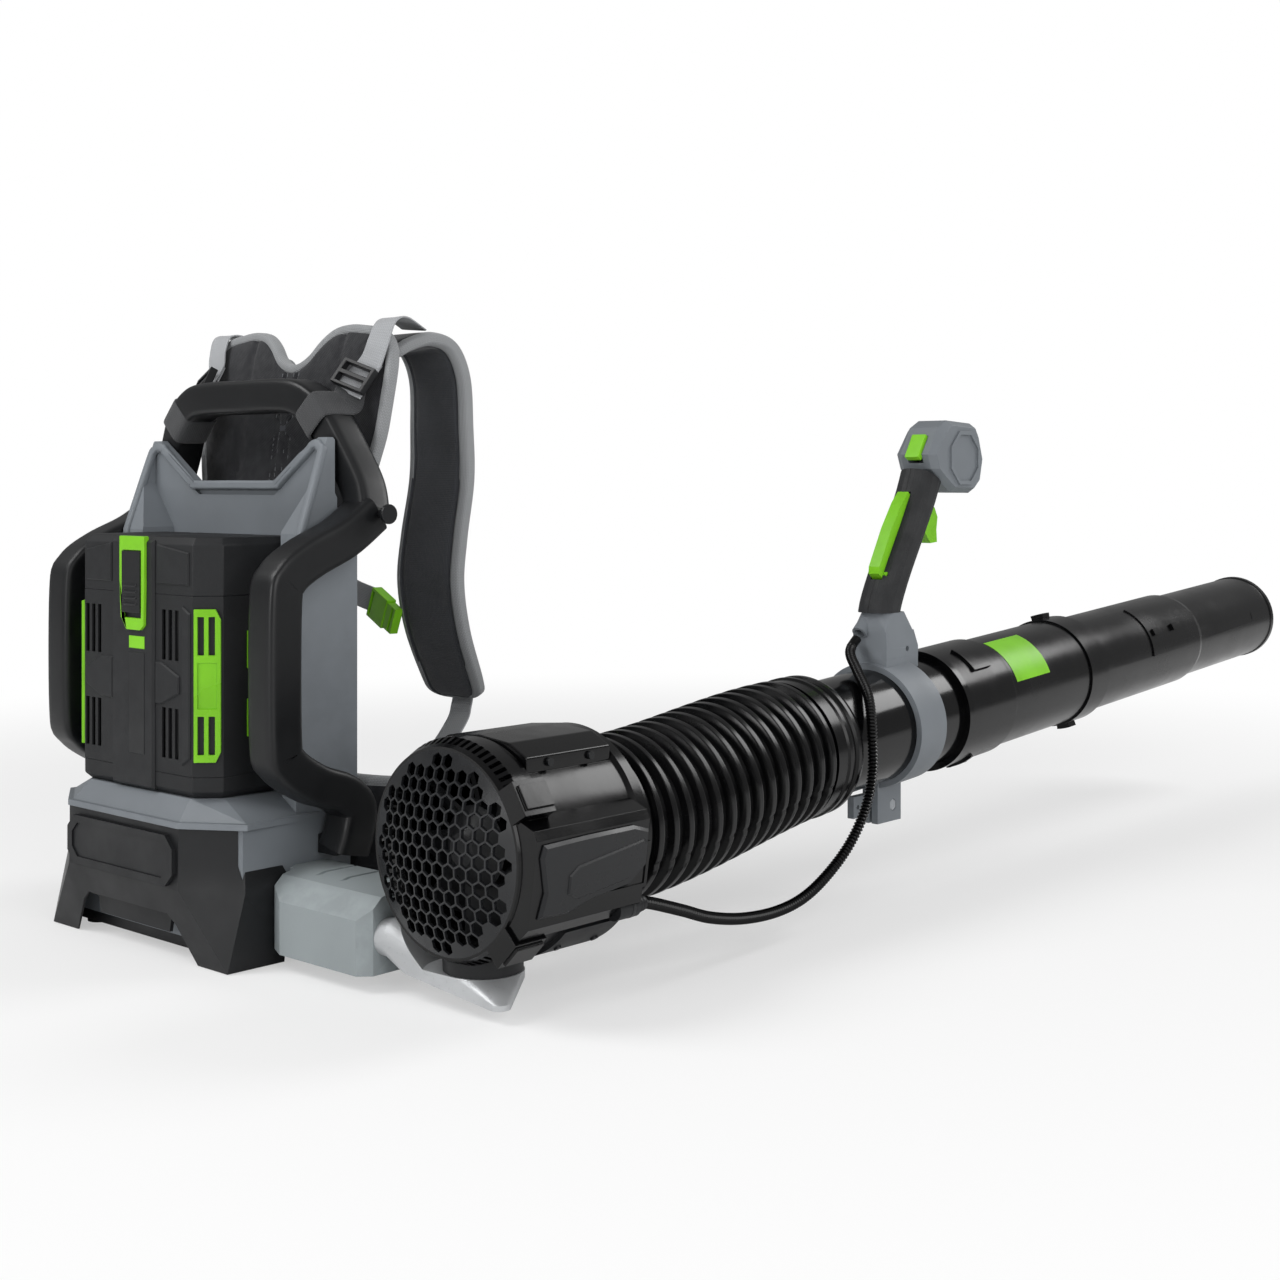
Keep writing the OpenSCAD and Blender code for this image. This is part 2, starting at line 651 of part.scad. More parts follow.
// Four groups of upright air slots beside the battery's middle panel
module vent_slots() {
    for (sx = [-1, 1]) for (z = [case_z0 + 12, case_z1 - 52]) for (i = [0:2])
        translate([sx > 0 ? 36 + i * 9 : -76 + i * 9, -battery_front - 1, z]) cube([5, battery_wall + 2, 40]);
}
module battery_top_cap() {
    color(satin) difference() {
        union() {
            translate([0, 0, case_z1]) linear_extrude(cap_h - 6) polygon(battery_outline(0));
            hull() {
                translate([0, 0, case_z1 + cap_h - 6 - eps]) linear_extrude(eps) polygon(battery_outline(0));
                translate([0, 0, case_z1 + cap_h - eps]) linear_extrude(eps) polygon(battery_outline(5));
            }
        }
        translate([0, 0, case_z1 - 1]) linear_extrude(cap_h - 3 - battery_wall) intersection() {
            polygon(battery_outline(battery_wall));
            translate([-battery_w, -battery_front]) square([2 * battery_w, battery_d - 6 - 2 * battery_wall]);
        }
        rail_grooves();
    }
}
module battery_bottom_cap() {
    color(satin) difference() {
        union() {
            translate([0, 0, battery_z + 5]) linear_extrude(foot_cap_h - 5) polygon(battery_outline(0));
            hull() {
                translate([0, 0, battery_z]) linear_extrude(eps) polygon(battery_outline(5));
                translate([0, 0, battery_z + 5]) linear_extrude(eps) polygon(battery_outline(0));
            }
        }
        translate([-34, -32, battery_z - 1]) cube([68, 30, 12]);
        rail_grooves();
    }
}
module battery_cells() {
    cell_h = 65;
    rows = 3;
    columns = 7;
    pitch = cell_d + 1.4;
    cell_y = -battery_front + battery_wall + 14;
    color("#3f6f8f") {
        for (i = [0:columns - 1]) for (j = [0:rows - 1]) for (k = [0, 1])
            translate([(i - (columns - 1) / 2) * pitch, cell_y + j * pitch, case_z0 + 1 + k * (cell_h + 2)])
            cylinder(d = cell_d, h = cell_h);
        // Holders at both ends and between the two layers
        for (k = [0:2]) translate([0, 0, case_z0 + k * (cell_h + 2) - (k > 0 ? 2 : 0)])
            linear_extrude(k == 1 ? 4 : 2) intersection() {
                polygon(battery_outline(battery_wall + 0.1));
                translate([-battery_w, cell_y - cell_d / 2 - 1]) square([2 * battery_w, (rows - 1) * pitch + cell_d + 4]);
            }
    }
}
strip_z0 = case_z1 - 30;
strip_t = 5;
latch_h = 50;
latch_z0 = strip_z0 + 10 + latch_travel;
module battery_strip() {
    top = battery_z + battery_h;
    color(green) difference() {
        slab_y([[-strip_w / 2, top], [strip_w / 2, top], [strip_w / 2, strip_z0 + 34],
            [strip_w / 2 - 1, strip_z0 + 4], [strip_w / 2 - 6, strip_z0], [-strip_w / 2 + 10, strip_z0],
            [-strip_w / 2 + 2, strip_z0 + 10], [-strip_w / 2, strip_z0 + 40]],
            -battery_front - strip_t, -battery_front);
        translate([-latch_w / 2 - seat_gap, -battery_front - strip_t - 1, strip_z0 + 10 - seat_gap])
            cube([latch_w + 2 * seat_gap, strip_t + 2, latch_h + latch_travel + 2 * seat_gap]);
    }
}
module battery_latch() {
    color(black) {
        translate([-latch_w / 2, -battery_front - strip_t - 1, latch_z0])
            cube([latch_w, strip_t + 1 - seat_gap, latch_h]);
        for (i = [0:3]) translate([-latch_w / 2 + 4, -battery_front - strip_t - 2.2, latch_z0 + 6 + i * 5])
            cube([latch_w - 8, 1.3, 2]);
    }
}
module vent_frame(w, h) {
    difference() {
        linear_extrude(3) polygon([[-w / 2, 0], [w / 2 - 4, 0], [w / 2, 8], [w / 2, h - 8], [w / 2 - 4, h],
            [-w / 2, h]]);
        for (z = [6, h - 36]) for (x = [-w / 2 + 3, 1]) translate([x, z, -1]) cube([5, 30, 5]);
        translate([-w / 2 + 3, 42, 1.6]) cube([w - 6, h - 84, 5]);
    }
}
module battery_side_frames() {
    frame_w = battery_bevel * sqrt(2) - 3;
    color(green) mirror_copy() {
        translate([battery_w / 2 - battery_bevel / 2, -battery_front + battery_bevel / 2, case_z0 + 12])
            rotate([90, 0, 45]) vent_frame(frame_w, case_z1 - case_z0 - 22);
        for (z = [case_z0 + 30, case_z1 - 58])
            translate([battery_w / 2, -battery_front + battery_bevel + 22, z]) cube([1.5, 12, 30]);
    }
}

// ---------------------------------------------------------------- fan

module fan_housing() {
    color(black) {
        on_fan() turned([[bore_r, t_barrel], [ring_r - 1, t_barrel], [ring_r - 1, t_barrel + 6],
            [barrel_r, t_barrel + 8], [barrel_r, t_outlet - 12], [barrel_r + 3, t_outlet - 9],
            [barrel_r + 3, t_outlet], [spigot_r, t_outlet], [spigot_r, t_outlet + spigot_l],
            [spigot_r - 3, t_outlet + spigot_l], [spigot_r - 3, t_outlet - 4], [bore_r, t_outlet - 20]]);
    }
}
module intake_ring() {
    slot_w = 3.4;
    color(black) difference() {
        on_fan() turned([[guard_r, 0], [guard_r + 2, 0], [ring_r, 12], [ring_r, ring_l], [bore_r, ring_l],
            [bore_r, ring_l - 6], [guard_r, 4]]);
        for (i = [0:ring_slots - 1]) round_fan(i * 360 / ring_slots, guard_r + 1, 4)
            translate([-slot_w / 2, -20, 0]) cube([slot_w, 40, 9]);
    }
}
cells_across = ceil(guard_r / cell_pitch) + 1;
module hex_field() {
    hex_r = (cell_pitch - cell_bar) / sqrt(3);
    for (i = [-cells_across:cells_across]) for (j = [-cells_across:cells_across]) {
        x = cell_pitch * (i + j / 2);
        y = cell_pitch * j * sqrt(3) / 2;
        if (norm([x, y]) < guard_r - cell_pitch * 0.62) translate([x, y]) rotate(30) circle(r = hex_r, $fn = 6);
    }
}
function bulge(r) = guard_bulge * (1 - pow(r / guard_r, 2));
module intake_guard() {
    steps = [0, 0.3, 0.5, 0.7, 0.85, 1];
    outside = [for (u = steps) [u * guard_r, -bulge(u * guard_r)]];
    inside = [for (i = [len(steps) - 1:-1:0]) [steps[i] * guard_r, 2.5 - bulge(steps[i] * guard_r)]];
    color(black) difference() {
        on_fan() turned(concat(outside, inside));
        on_fan(-guard_bulge - 1) linear_extrude(guard_bulge + 6) hex_field();
    }
}
module housing_envelope() {
    on_fan() turned([[0, -2], [guard_r + 2, -2], [guard_r + 2, 0], [ring_r, 12], [ring_r, t_barrel + 6],
        [barrel_r, t_barrel + 8], [barrel_r, t_outlet - 12], [barrel_r + 3, t_outlet - 9],
        [barrel_r + 3, t_outlet + 1], [0, t_outlet + 1]]);
}
latch_phi = [58, 134];
module guard_latches() {
    color(satin) difference() {
        for (phi = latch_phi) round_fan(phi, 0, -1) {
            translate([-13, -ring_r - 9, 0]) cube([26, 30, 30]);
            translate([-9, -ring_r - 11, 3]) cube([18, 10, 26]);
        }
        housing_envelope();
    }
}
spine_top = barrel_r + 4.5;
spine = [[-50, -56], [-50, -spine_top + 13], [-32, -spine_top + 3], [0, -spine_top], [32, -spine_top + 3],
    [50, -spine_top + 12], [50, -54]];
module top_spine() {
    color(black) difference() {
        on_fan(t_barrel + 8) linear_extrude(barrel_l - 20) polygon(spine);
        housing_envelope();
    }
}
cover_phi = 98;
module side_cover() {
    flat = 11;
    color(satin) difference() {
        union() {
            on_fan(2) rotate([0, 0, cover_phi]) linear_extrude(t_outlet - 15.5) polygon([[-42, -66],
                [-38, -barrel_r - flat + 4], [-32, -barrel_r - flat], [30, -barrel_r - flat],
                [40, -barrel_r - flat + 8], [44, -60]]);
            on_fan(t_barrel + 22) rotate([0, 0, cover_phi]) translate([-16, -barrel_r - flat - 2, 0])
                cube([34, 4, t_outlet - t_barrel - 34]);
        }
        housing_envelope();
        for (phi = latch_phi) round_fan(phi, 0, -2) translate([-13.3, -120, 0]) cube([26.6, 60, 31.4]);
        on_fan(0) linear_extrude(t_outlet) polygon(spine);
        round_fan(gland_phi, gland_r, t_outlet - 36) cylinder(d = conduit_d + 8, h = 60);
        on_fan(t_barrel + 25) rotate([0, 0, cover_phi]) translate([-13, -barrel_r - flat - 3, 0])
            cube([28, 2, t_outlet - t_barrel - 40]);
    }
}
gland_phi = 122;
gland_r = barrel_r + 10;
module lower_cover() {
    color(satin) difference() {
        union() {
            on_fan() wall_arc(ring_r, barrel_r - 4, t_barrel + 9, t_outlet - 13, 130, 214);
            on_fan() wall_arc(ring_r + 4, barrel_r - 6, t_barrel + 34, t_outlet - 14, 132, 165);
            translate([pivot_x, pivot_y, boss_z0]) cylinder(d1 = boss_d - 1, d2 = boss_d + 2, h = 26);
        }
        housing_envelope();
        translate([pivot_x, pivot_y, boss_z0 - 1])
            cylinder(r = pivot_d / 2 + pivot_gap, h = pin_top - boss_z0 + 1.5);
        side_cover_space();
        round_fan(gland_phi, gland_r, t_outlet - 22) cylinder(d = conduit_d + 0.4, h = 24);
    }
    // Gland of the control conduit
    color(satin) difference() {
        round_fan(gland_phi, gland_r, t_outlet - 34) cylinder(d = conduit_d + 7, h = 22);
        housing_envelope();
        round_fan(gland_phi, gland_r, t_outlet - 22) cylinder(d = conduit_d + 0.4, h = 24);
    }
}
module side_cover_space() {
    on_fan(2) rotate([0, 0, cover_phi]) linear_extrude(t_outlet - 14) polygon([[-42, -66],
        [-38, -barrel_r - 7], [-32, -barrel_r - 11], [30, -barrel_r - 11], [40, -barrel_r - 3], [44, -60]]);
}
motor_t0 = t_barrel + 42;
module stator_vanes() {
    color(satin) {
        on_fan() ring(hub_r, hub_r - 2.5, motor_t0 - 4, motor_t0 + 50);
        on_fan(motor_t0 - 4) difference() {
            cylinder(r = hub_r - 2, h = 3);
            translate([0, 0, -1]) cylinder(d = shaft_d + 14, h = 6);
        }
        on_fan(motor_t0 + 50) difference() {
            cylinder(r1 = hub_r, r2 = 10, h = 22);
            translate([0, 0, -1]) cylinder(r1 = hub_r - 3, r2 = 7, h = 21);
        }
        difference() {
            for (i = [0:vanes - 1]) on_fan(motor_t0) rotate([0, 0, i * 360 / vanes])
                translate([-1.2, hub_r - 1, 0]) rotate([0, 12, 0]) cube([2.4, bore_r - hub_r + 1, 34]);
            on_fan() ring(bore_r + 30, bore_r, 0, t_outlet);
            on_fan(0) cylinder(r = hub_r - 2, h = t_outlet);
        }
    }
}
module motor_stator() {
    color(steel) on_fan() ring(hub_r - 2.6, 13, motor_t0 + 8, motor_t0 + 36);
}
module motor_bearings() {
    color(metal) {
        on_fan() ring(shaft_d / 2 + 7, shaft_d / 2 + 0.04, motor_t0 - 4, motor_t0 + 3);
        on_fan() ring(shaft_d / 2 + 7, shaft_d / 2 + 0.04, motor_t0 + 40, motor_t0 + 47);
        on_fan() ring(hub_r - 2.6, shaft_d / 2 + 7, motor_t0 + 40, motor_t0 + 43);
    }
}
module motor_rotor() {
    color(steel) {
        on_fan(t_barrel + 8) cylinder(d = shaft_d, h = motor_t0 + 48 - t_barrel - 8);
        on_fan(motor_t0 + 9) cylinder(r = 12.4, h = 26);
    }
}
module impeller() {
    imp_t0 = t_barrel + 6;
    imp_l = 26;
    color(satin) difference() {
        union() {
            on_fan(imp_t0) cylinder(r = hub_r, h = imp_l);
            on_fan(imp_t0 - 14) cylinder(r1 = 12, r2 = hub_r, h = 14);
            intersection() {
                for (i = [0:blades - 1]) on_fan(imp_t0 + imp_l / 2) rotate([0, 0, i * 360 / blades])
                    rotate([0, 48, 0]) translate([-1.5, hub_r - 4, -17]) cube([3, bore_r, 34]);
                on_fan() ring(bore_r - tip_gap, hub_r - 2, imp_t0 - 2, imp_t0 + imp_l + 1);
            }
        }
        on_fan(t_barrel + 8) cylinder(d = shaft_d, h = 60);
    }
}
module housing_screws() {
    color(steel) {
        for (t = [t_barrel + 30, t_outlet - 34]) on_fan(t) translate([50.05, -spine_top + 17, 0])
            rotate([0, 90, 0]) cylinder(d = 6, h = 2.5);
        for (t = [t_barrel + 44, t_outlet - 24]) round_fan(148, ring_r + 4, t)
            rotate([90, 0, 0]) cylinder(d = 6, h = 1.5);
    }
}

// ---------------------------------------------------------------- hose and tubes

rear_cuff_l = 20;
front_cuff_l = 38;
t_flex0 = t_outlet + rear_cuff_l;
t_flex1 = t_hose_end - front_cuff_l;
cuff_r = rib_r - rib_depth + 1;
hose_a = [fan_x, t_flex0 - fan_back, fan_z];
flex_end = t_flex1 - seat_gap;
hose_b = [fan_x, flex_end * cos(line_tilt) - fan_back, fan_z + flex_end * sin(line_tilt)];
hose_run = norm(hose_b - hose_a);
end_dir = [0, cos(line_tilt), sin(line_tilt)];
function hose_at(u) = (2 * u * u * u - 3 * u * u + 1) * hose_a + (u * u * u - 2 * u * u + u) * hose_run * [0, 1, 0]
    + (3 * u * u - 2 * u * u * u) * hose_b + (u * u * u - u * u) * hose_run * end_dir;
function hose_dir(u) = unit((6 * u * u - 6 * u) * (hose_a - hose_b)
    + (3 * u * u - 4 * u + 1) * hose_run * [0, 1, 0] + (3 * u * u - 2 * u) * hose_run * end_dir);
hose_sides = 32;
function crest(i) = rib_r - 3 * pow(i / (ribs - 1), 3);
hose_outer = concat([[0, cuff_r]], [for (i = [0:ribs - 1]) each [[(i + 0.1) / ribs, crest(i) - rib_depth],
    [(i + 0.4) / ribs, crest(i)], [(i + 0.6) / ribs, crest(i)], [(i + 0.9) / ribs, crest(i) - rib_depth]]],
    [[1, cuff_r - 2]]);
hose_bore = spigot_r + 1.2;
hose_inner = [[1, hose_bore - 2], [0.8, hose_bore - 2], [0.6, hose_bore], [0.3, hose_bore], [0, hose_bore]];
module flex_hose() {
    rings = concat(hose_outer, hose_inner);
    n = len(rings);
    points = [for (q = rings) let (c = hose_at(q[0]), w = hose_dir(q[0]), v = cross(w, [1, 0, 0]))
        for (k = [0:hose_sides - 1]) let (a = 360 * k / hose_sides)
        c + q[1] * (cos(a) * [1, 0, 0] + sin(a) * v)];
    skin = [for (i = [0:n - 1]) for (k = [0:hose_sides - 1])
        let (m = (i + 1) % n, l = (k + 1) % hose_sides, a = i * hose_sides, b = m * hose_sides)
        each [[a + k, b + l, a + l], [a + k, b + k, b + l]]];
    color(black) polyhedron(points, skin, convexity = 8);
}
module hose_rear_cuff() {
    t0 = t_outlet + seat_gap;
    color(black) on_fan() turned([[spigot_r + 0.1, t0], [rib_r + 2, t0], [rib_r + 2, t0 + 7],
        [rib_r - 1, t0 + 10], [cuff_r + 1, t0 + 12], [cuff_r + 1, t_flex0], [spigot_r + 0.1, t_flex0]]);
}
module hose_front_cuff() {
    grip_in = rear_r + 0.3;
    seat = rear_r + 2.6 + slide_gap;
    lip = cuff_r - 1;
    color(black) on_line() turned([[seat + 1, t_flex1], [lip, t_flex1], [lip, t_flex1 + 13], [lip + 1.5, t_flex1 + 15],
        [lip + 1.5, t_flex1 + 19], [lip, t_flex1 + 21], [lip - 1, t_flex1 + 26], [lip + 1, t_flex1 + 28],
        [lip + 1, t_flex1 + 32], [lip - 1.5, t_hose_end], [grip_in, t_hose_end], [grip_in, t_hose_end - 8],
        [seat, t_hose_end - 9], [seat, t_flex1 + 6]]);
}
module rear_tube() {
    color(black) on_line() turned([[rear_r - tube_wall, t_rear], [rear_r + 2.6, t_rear], [rear_r + 2.6, t_rear + 16],
        [rear_r, t_rear + 20], [rear_r, t_middle - 8], [coupling_r + 0.6, t_middle - 8],
        [coupling_r + 0.6, t_middle], [rear_r, t_middle], [rear_r, t_middle + 34],
        [rear_r - tube_wall, t_middle + 34]]);
}
socket_l = 84;
collar_l = 36;
module bayonet_track(phi, t, r) {
    on_line() wall_arc(r + 2.6, r - 1.5, t + 0.5, t + 4, phi, phi + 28);
    on_line() wall_arc(r + 3, r - 1, t, t + 30, phi + 26, phi + 30);
}
module middle_tube() {
    color(black) {
        on_line() turned([[rear_r, t_middle], [coupling_r, t_middle], [coupling_r, t_middle + socket_l - 6],
            [middle_r, t_middle + socket_l], [middle_r, t_front - collar_l],
            [coupling_r - 1, t_front - collar_l], [coupling_r - 1, t_front], [middle_bore, t_front],
            [middle_bore, t_middle + 36], [rear_r, t_middle + 36]]);
        for (phi = [20, 140, 260]) bayonet_track(phi, t_middle + 22, coupling_r);
        for (phi = [-20, 160]) on_line() wall_arc(coupling_r + 4, coupling_r - 1.5, t_front - 24, t_front - 10,
            phi, phi + 14);
    }
}
module front_tube() {
    r0 = front_r - tube_wall;
    t0 = t_front - 44;
    color(black) difference() {
        union() {
            on_line() turned([[r0, t0], [front_r, t0], [front_r, t_step - 14], [nozzle_r, t_step],
                [nozzle_r, t_end - 8], [nozzle_r + 1.2, t_end - 6], [nozzle_r + 1.2, t_end],
                [nozzle_bore, t_end], [nozzle_bore, t_step - 2], [r0, t_step - 16]]);
            for (t = [t_front + 122, t_front + 168]) on_line() wall_arc(front_r + 3.4, front_r - 0.5, t, t + 12, 58, 66);
            on_line() wall_arc(front_r + 1.6, front_r - 0.5, t_front + 112, t_front + 116, 20, 90);
        }
        round_line(78, nozzle_r, t_step + 34) translate([-22, -3, 0]) cube([44, 3.4, 106]);
    }
}

// ---------------------------------------------------------------- handle

lug_z = clamp_z - clamp_out - 19;
lug_gap = 3;
lug_t = 7;
module handle_clamp() {
    color(shell_grey) difference() {
        union() {
            on_line() ring(clamp_out, clamp_r, clamp_t0, clamp_t0 + clamp_l);
            over_clamp(clamp_z + clamp_r - 6) translate([-19, -clamp_l / 2 + 1, 0])
                cube([38, clamp_l + 10, saddle_z - clamp_z - clamp_r + 6]);
            for (sx = [-1, 1]) over_clamp(lug_z - 15)
                translate([sx * (lug_t + lug_gap) / 2 - lug_t / 2, -clamp_l / 2 + 2, 0])
                cube([lug_t, clamp_l - 4, clamp_z - lug_z + 15 - clamp_r + 8]);
            over_clamp(lug_z - 8) translate([-lug_t - lug_gap / 2, -clamp_l / 2 - 22, 0]) cube([lug_t, 34, 20]);
        }
        on_line(clamp_t0 - 40) cylinder(r = clamp_r, h = clamp_l + 80, $fn = 96);
        over_clamp(lug_z - 30) translate([-lug_gap / 2, -60, 0]) cube([lug_gap, 120, 60]);
        over_clamp(lug_z) translate([-30, 6, 0]) rotate([0, 90, 0]) cylinder(d = 6, h = 60);
        over_clamp(lug_z) translate([lug_gap / 2 + lug_t - 3, 6, 0]) rotate([0, 90, 0])
            cylinder(d = 11.5, h = 4, $fn = 6);
        over_clamp(lug_z + 2) translate([-30, -clamp_l / 2 - 15, 0]) rotate([0, 90, 0]) cylinder(d = 4, h = 60);
    }
}
module clamp_bolt() {
    reach = lug_gap / 2 + lug_t;
    color(steel) over_clamp(lug_z) translate([0, 6, 0]) rotate([0, 90, 0]) {
        translate([0, 0, -reach - 4]) cylinder(d = 10, h = 4);
        translate([0, 0, -reach - 1]) cylinder(d = 6, h = 2 * reach - 2);
        translate([0, 0, reach - 3]) cylinder(d = 11, h = 2.6, $fn = 6);
    }
}
conduit_end = [-9, -22, 24];
module handle_bracket() {
    color(shell_grey) over_clamp(saddle_z) difference() {
        union() {
            hull() {
                translate([-19, -clamp_l / 2 + 1, 0]) cube([38, clamp_l + 10, 10]);
                translate([-18, -20, 24]) cube([36, 46, 1]);
            }
            hull() {
                translate([-18, -20, 24]) cube([36, 44, 1]);
                translate([0, 2, bracket_h - 1]) scale_disc(grip_w, grip_d, 1);
            }
            translate(conduit_end) rotate([40, 0, 0]) translate([0, 0, 0]) rotate([-90, 0, 0])
                translate([0, 0, -2]) cylinder(d = conduit_d + 5, h = 14);
        }
        translate(conduit_end) rotate([40, 0, 0]) rotate([-90, 0, 0]) translate([0, 0, -6])
            cylinder(d = conduit_d, h = 12);
        for (sx = [-1, 1]) translate([sx * 20, 14, 8]) rotate([0, 90, 0])
            translate([0, 0, -5]) cylinder(d = 5, h = 10);
    }
}
module scale_disc(w, d, h) {
    linear_extrude(h) polygon([for (a = [0:15:345]) [w / 2 * signed_pow(cos(a), 0.8),
        d / 2 * signed_pow(sin(a), 0.8)]]);
}
grip_line = smooth(grip_path, 2);
trigger_y = 66;
trigger_z = 95;
lever_at = [0, -6, 36];
lever_l = 86;
lever_tilt = 32;
module grip_shells() {
    sections = len(grip_line);
    depth = [for (i = [0:sections - 1]) grip_d - 3 * sin(180 * i / (sections - 1))];
    color(fabric) over_clamp(grip_z) difference() {
        sweep(grip_line, [1, 0, 0], grip_w, depth, 16, 0.8);
        translate([-60, -60, -40]) cube([120, 220, 40.1]);
        trigger_slot();
        lever_slot();
    }
}
module trigger_slot() {
    hw = trigger_w / 2 + seat_gap;
    slab_x([[trigger_y - 20, trigger_z - 48], [trigger_y + 40, trigger_z - 48], [trigger_y + 40, trigger_z + 9],
        [trigger_y - 12, trigger_z + 9]], -hw, hw);
    translate([-hw - 4, trigger_y - 2, trigger_z]) rotate([0, 90, 0]) cylinder(r = 2.55, h = 2 * hw + 8);
}
module trigger() {
    hw = trigger_w / 2;
    color(green) over_clamp(grip_z) {
        slab_x([[trigger_y - 8, trigger_z + 5], [trigger_y + 6, trigger_z + 6], [trigger_y + 15, trigger_z + 1],
            [trigger_y + 20, trigger_z - 8], [trigger_y + 18, trigger_z - 20], [trigger_y + 19, trigger_z - 32],
            [trigger_y + 8, trigger_z - 33], [trigger_y - 5, trigger_z - 20]], -hw, hw);
        translate([-hw - 3.5, trigger_y - 2, trigger_z]) rotate([0, 90, 0]) cylinder(r = 2.5, h = 2 * hw + 7);
    }
}
module lever_frame() {
    translate(lever_at) rotate([-lever_tilt, 0, 0]) children();
}
module lever_slot() {
    hw = lever_w / 2 + seat_gap;
    lever_frame() translate([-hw, -14, -7]) cube([2 * hw, 20, lever_l + 9]);
    lever_frame() translate([-hw - 4, 1, 0]) rotate([0, 90, 0]) cylinder(r = 2.05, h = 2 * hw + 8);
}
module cruise_lever() {
    hw = lever_w / 2;
    color(green) over_clamp(grip_z) lever_frame() {
        slab_x([[-9, 2], [-6, -4], [3, -5], [5, 0], [4, lever_l - 2], [-5, lever_l], [-8.5, lever_l - 14],
            [-10.5, lever_l / 2]], -hw, hw);
        translate([-hw - 3.5, 1, 0]) rotate([0, 90, 0]) cylinder(r = 2, h = 2 * hw + 7);
    }
}
function head_outline(i) = [[-40 + i, -14], [-46 + i, 0], [-29 + i, 26 - i], [-14, 33 - i], [28, 31 - i],
    [39 - i, 22 - i], [46 - i, -4], [41 - i, -29 + i], [26, -37 + i], [-8, -36 + i], [-22, -28 + i]];
module button_frame() {
    translate([fan_x, head_y - 41.5, head_z + 7]) rotate([button_tilt - 90, 0, 0]) children();
}
module grip_head() {
    color(shell_grey) difference() {
        union() {
            hull() {
                translate([fan_x, head_y, head_z]) slab_x(head_outline(0), -head_w / 2 + 7, head_w / 2 - 7);
                translate([fan_x, head_y, head_z]) slab_x(head_outline(5), -head_w / 2, head_w / 2);
            }
            translate([fan_x + head_w / 2 - 1, head_y + 8, head_z - 3]) rotate([0, 90, 0])
                rotate(22.5) cylinder(r = disc_r, h = 3, $fn = 8);
        }
        // Seat of the head over the top of the grip
        over_clamp(grip_z) sweep(grip_line, [1, 0, 0], grip_w + 0.4, grip_d + 0.4, 16, 0.8);
        button_frame() translate([-button_w / 2 - seat_gap, -8, -13 - seat_gap])
            cube([button_w + 2 * seat_gap, 30, 26 + 2 * seat_gap]);
        translate([fan_x + head_w / 2 - 4, head_y + 8, head_z - 3]) difference() {
            translate([2, 0, 0]) rotate([0, 90, 0]) rotate(22.5) cylinder(r = disc_r - 4, h = 8, $fn = 8);
            translate([-1, -60, -60]) cube([4.8, 120, 120]);
        }
    }
}
module boost_button() {
    color(green) button_frame() {
        translate([-button_w / 2, -3.2, -13]) cube([button_w, 7, 26]);
    }
}

// The conduit's route from the housing's gland to the handle's bracket
conduit_route = [[404, 72.5, 70.4], [404, 84, 70.4], [404, 98, 69], [402, 138, 56], [398, 176, 43], [393, 222, 33],
    [389, 270, 29], [387, 310, 33], [386, 345, 46], [388, 375, 68], [391, 394, 96], [393, 402, 126],
    [390, 406, 158], [375, 422, 188], [348, 444, 207], [329, 460, 219], [322, 471, 225.5], [322, 480, 233]];
module control_conduit() {
    route = smooth(conduit_route, 14);
    color(black) sweep(conduit_steps(route), [0.36, 0.48, 0.8], conduit_widths(), conduit_widths(), 8, 1);
}
function lengths(p, i = 0, s = 0) = i >= len(p) - 1 ? [s] :
    concat([s], lengths(p, i + 1, s + norm(p[i + 1] - p[i])));
function walk(p, c, s, i = 0) = i >= len(p) - 2 || c[i + 1] >= s ?
    p[i] + (p[i + 1] - p[i]) * min(1, (s - c[i]) / (c[i + 1] - c[i])) : walk(p, c, s, i + 1);
conduit_rings = 2 * conduit_ribs + 4;
function conduit_steps(p) = let (c = lengths(p), total = c[len(c) - 1], run = total - 2 * conduit_d)
    [for (i = [0:conduit_rings - 1]) walk(p, c, i == 0 ? 0 : i == conduit_rings - 1 ? total :
        conduit_d + run * (i - 1) / (conduit_rings - 3))];
function conduit_widths() = [for (i = [0:conduit_rings - 1]) i < 2 || i > conduit_rings - 3 ?
    conduit_d - 0.4 : i % 2 == 0 ? conduit_d : conduit_d - 2];

// ---------------------------------------------------------------- harness

module back_pad() {
    hw = 92;
    color(fabric) difference() {
        slab_y(mirrored([[hw - 14, 350], [hw, 336], [hw, 158], [hw - 12, 146]]), pad_y, pad_y + back_pad_t);
        for (x = [-8, 8]) translate([x - 1, pad_y + back_pad_t - 2, 100]) cube([2, 4, 300]);
    }
}
yoke_y = pad_y + back_pad_t + seat_gap;
module harness_yoke() {
    outline = mirrored([[12, 482], [24, 489], [36, 501], [50, 510], [66, 513], [84, 512], [112, 506], [128, 484],
        [128, 430], [121, 396], [112, 368], [100, 352]]);
    color(fabric) difference() {
        translate([0, yoke_y, 0]) translate([0, 0, 350]) rotate([-8, 0, 0]) translate([0, 0, -350])
            slab_y(concat([[0, 480]], outline), 0, yoke_t);
        for (x = [-8, 8]) translate([x - 1, yoke_y + yoke_t - 2, 300]) cube([2, 60, 300]);
    }
}
pad_steps = 4;
pad_right_path = [[84, 99.1, 484], [89, 118, 495], [94, 138, 499], [97, 156, 491], [98, 167, 466], [97, 170, 425],
    [97, 170, 380], [96, 162, 330], [96, 158, 290], [97, 165, 248], [97, 182, 206], [97, 190, 188]];
pad_left_path = [[-84, 101.4, 474], [-92, 118, 482], [-99, 135, 475], [-102, 150, 457], [-102, 160, 430],
    [-101, 164, 392], [-100, 163, 350], [-98, 158, 312], [-97, 157, 283], [-97, 165, 248], [-97, 182, 206],
    [-97, 190, 188]];
